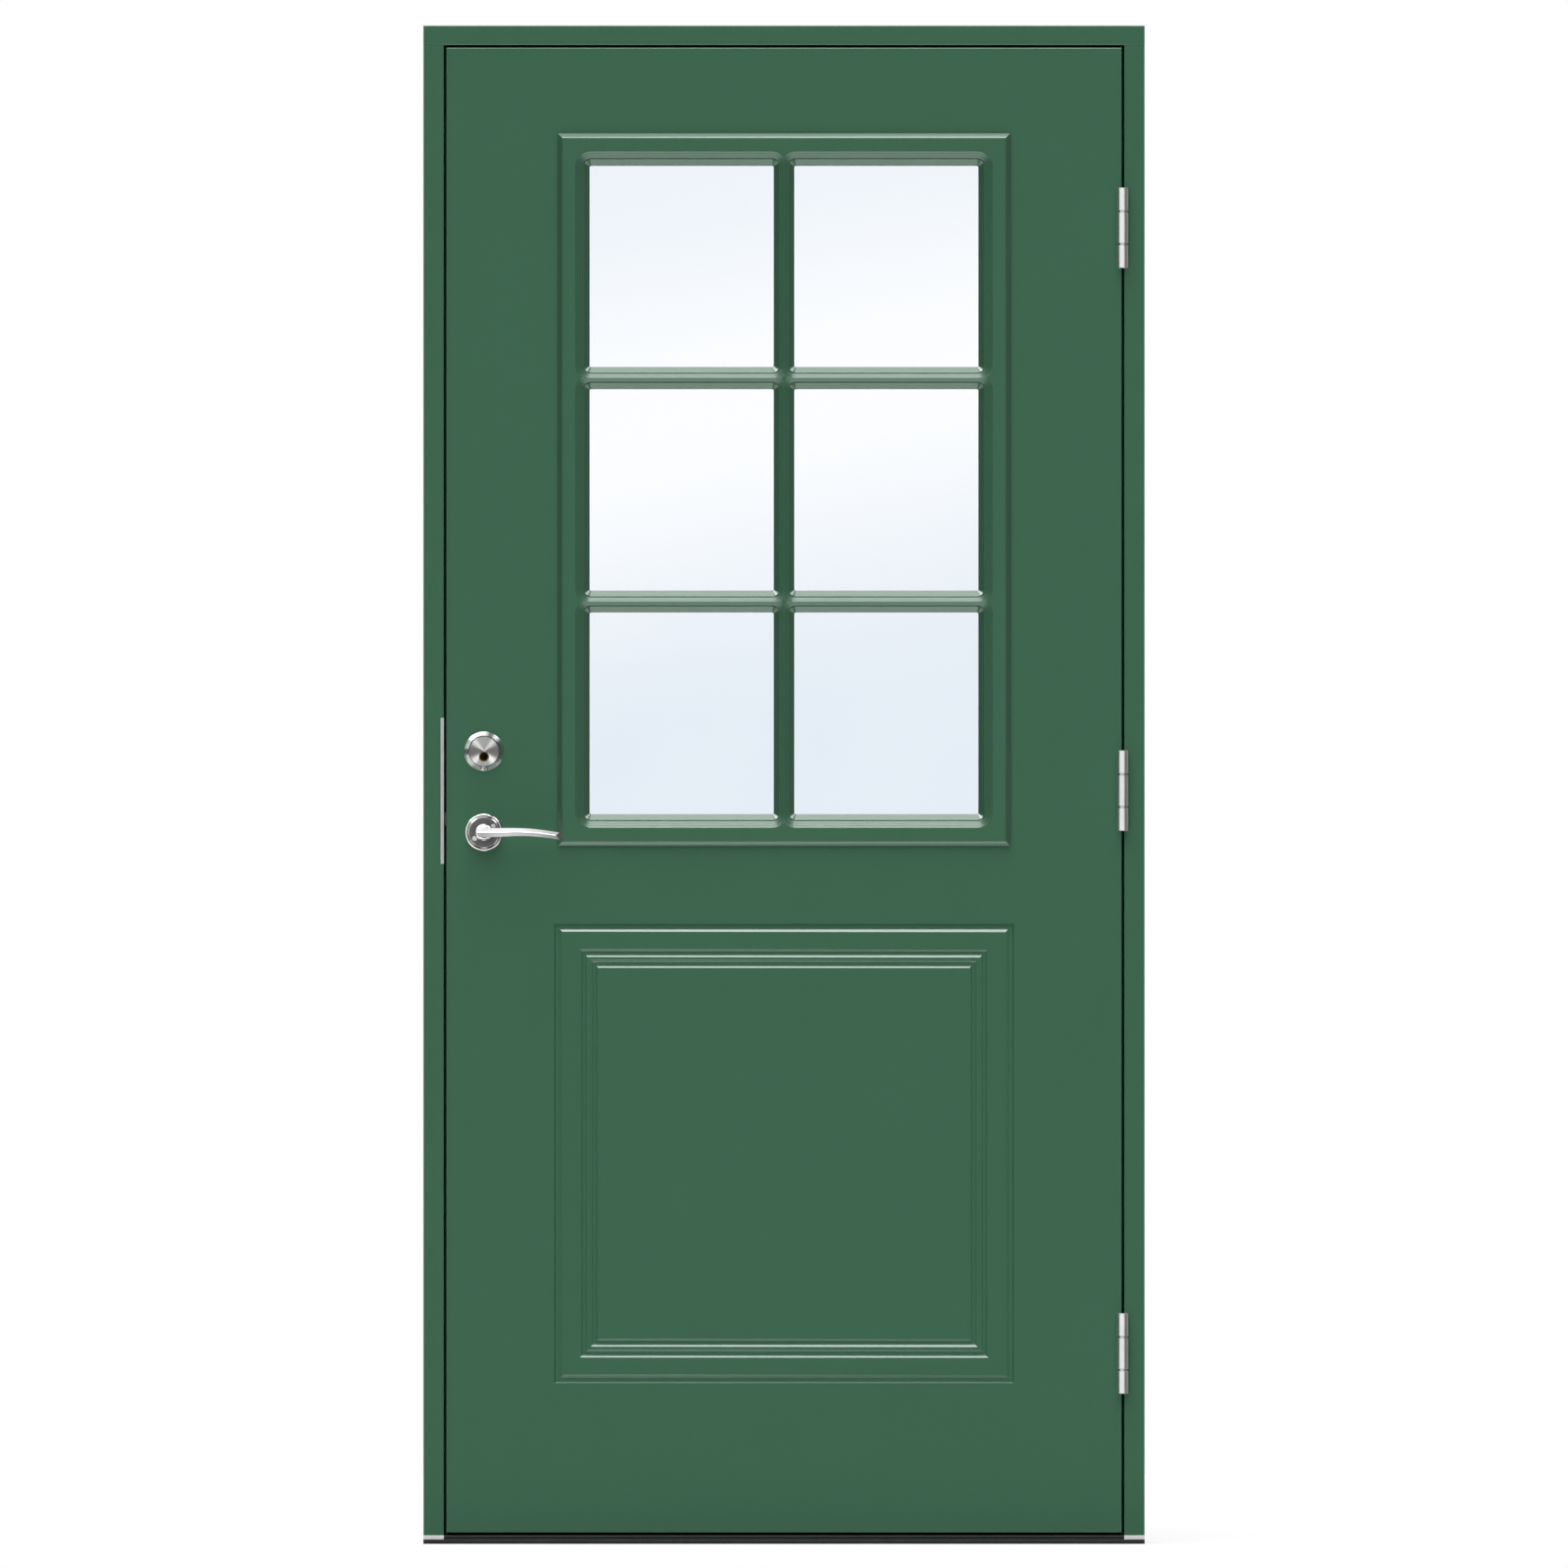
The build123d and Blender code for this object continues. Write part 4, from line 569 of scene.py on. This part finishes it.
def lights():
    """Soft suns, set by where they stand as seen from the door."""
    receivers = {group: only(group, starts) for group, starts in GROUPS.items()}
    receivers["gloss"] = all_but(NO_GLOSS)
    for name, azimuth, elevation, size, strength, acts_on in SUNS:
        lamp = bpy.data.lights.new(name, "SUN")
        lamp.energy = strength
        lamp.angle = radians(size)
        obj = bpy.data.objects.new(name, lamp)
        obj.visible_diffuse = acts_on == "matt"
        obj.visible_glossy = acts_on != "matt"
        if acts_on in receivers:
            obj.light_linking.receiver_collection = receivers[acts_on]
        bpy.context.scene.collection.objects.link(obj)
        turn, lift = radians(azimuth), radians(elevation)
        aim(obj, (-sin(turn) * cos(lift), cos(turn) * cos(lift), -sin(lift)))


def surroundings(tree, right, deep, up):
    """White behind the door, further round on the left, and dim in front with a dark flag far left."""
    lean = maths(tree, "SUBTRACT", deep, maths(tree, "MULTIPLY", right, BACK_LEAN))
    near = between(tree, fade(tree, right, *LEFT_EDGE), FRONT_GLOW, LEFT_GLOW)
    near = between(tree, span(tree, right, *RIGHT_EDGE), near, RIGHT_GLOW)
    glow = between(tree, span(tree, lean, *BACK_EDGE), near, BACK_GLOW)
    height = maths(tree, "ABSOLUTE", maths(tree, "ADD", up, FLAG_DROP))
    flag = maths(tree, "MULTIPLY", fade(tree, right, *FLAG_SIDE), fade(tree, height, *FLAG_EDGE))
    return between(tree, flag, glow, LEFT_GLOW)


def soft_boxes(tree, right, deep, up):
    """The boxes underfoot and in front, whichever is brighter."""
    aside = maths(tree, "ABSOLUTE", right)
    under = maths(tree, "MULTIPLY", span(tree, up, *UNDER_RISE), fade(tree, up, *UNDER_FALL, UNDER_GLOW))
    under = maths(tree, "MULTIPLY", under, fade(tree, aside, *UNDER_SIDE))
    ahead = maths(tree, "MULTIPLY", span(tree, up, *AHEAD_RISE), fade(tree, up, *AHEAD_FALL, AHEAD_GLOW))
    ahead = maths(tree, "MULTIPLY", ahead, fade(tree, deep, *AHEAD_DEPTH))
    return maths(tree, "MAXIMUM", under, ahead)


def world():
    """The light all round, with plain white behind the door and through its glass."""
    sky = bpy.data.worlds.new("studio")
    sky.use_nodes = True
    tree = sky.node_tree
    path = add(tree, "ShaderNodeLightPath")
    split = add(tree, "ShaderNodeSeparateXYZ", {0: add(tree, "ShaderNodeTexCoord").outputs["Generated"]})
    right, deep, up = [split.outputs[axis] for axis in "XYZ"]
    glow = surroundings(tree, right, deep, up)
    below = between(tree, fade(tree, up, *BOTTOM_EDGE), glow, BOTTOM_GLOW)
    boxes = maths(tree, "MAXIMUM", glow, soft_boxes(tree, right, deep, up))
    glow = between(tree, path.outputs["Is Glossy Ray"], below, boxes)
    strength = span(tree, right, *TOP_SIDE, TOP_GLOW, TOP_RIGHT_GLOW)
    top = maths(tree, "MULTIPLY", span(tree, up, *TOP_EDGE), strength)
    glow = maths(tree, "MAXIMUM", glow, top)
    seen = maths(tree, "MAXIMUM", path.outputs["Is Camera Ray"], path.outputs["Is Transmission Ray"])
    shown = {"Color": grey(1.0), "Strength": maths(tree, "MAXIMUM", seen, glow)}
    feed(tree, tree.nodes["Background"], shown)
    bpy.context.scene.world = sky


def floor_material():
    """White floor that stays white to the camera but keeps the door's shadow."""
    material = bpy.data.materials.new("floor_white")
    material.use_nodes = True
    tree = material.node_tree
    tree.nodes.remove(tree.nodes["Principled BSDF"])
    path = add(tree, "ShaderNodeLightPath")
    pale = blend(tree, noise(tree, 2.0), grey(0.80), grey(0.84))
    tone = blend(tree, path.outputs["Is Diffuse Ray"], pale, grey(0.20))
    plain = add(tree, "ShaderNodeBsdfDiffuse", {"Color": tone})
    glow = add(tree, "ShaderNodeEmission", {"Color": grey(1.0), "Strength": 1.0})
    seen = maths(tree, "MAXIMUM", path.outputs["Is Camera Ray"], path.outputs["Is Glossy Ray"])
    seen = maths(tree, "MAXIMUM", seen, path.outputs["Is Transmission Ray"])
    mix = add(tree, "ShaderNodeMixShader", {0: maths(tree, "MULTIPLY", seen, FLOOR_WHITE)})
    tree.links.new(plain.outputs[0], mix.inputs[1])
    tree.links.new(glow.outputs[0], mix.inputs[2])
    tree.links.new(mix.outputs[0], tree.nodes["Material Output"].inputs["Surface"])
    return material


def floor():
    """The floor that the threshold stands on."""
    mesh = bpy.data.meshes.new("floor")
    front = [(-FLOOR_HALF, -FLOOR_FRONT, 0.0), (FLOOR_HALF, -FLOOR_FRONT, 0.0)]
    back = [(FLOOR_HALF, FLOOR_BACK, 0.0), (-FLOOR_HALF, FLOOR_BACK, 0.0)]
    mesh.from_pydata(front + back, [], [(0, 1, 2, 3)])
    plane = bpy.data.objects.new("floor", mesh)
    plane.data.materials.append(floor_material())
    plane.visible_shadow = False
    bpy.context.scene.collection.objects.link(plane)


def camera():
    """A long lens square on to the door."""
    lens = bpy.data.cameras.new("camera")
    lens.sensor_width = SENSOR
    lens.lens = SENSOR * CAMERA_FAR / PICTURE_HEIGHT
    lens.clip_end = 5 * CAMERA_FAR
    obj = bpy.data.objects.new("camera", lens)
    obj.location = (0.0, -CAMERA_FAR, PICTURE_CENTRE_Z)
    aim(obj, (0.0, 1.0, 0.0))
    bpy.context.scene.collection.objects.link(obj)
    bpy.context.scene.camera = obj


camera()
lights()
world()
floor()
dress()
lever_hubs()
for eased in EASED:
    soften(eased)
bpy.context.scene.view_settings.view_transform = "Standard"
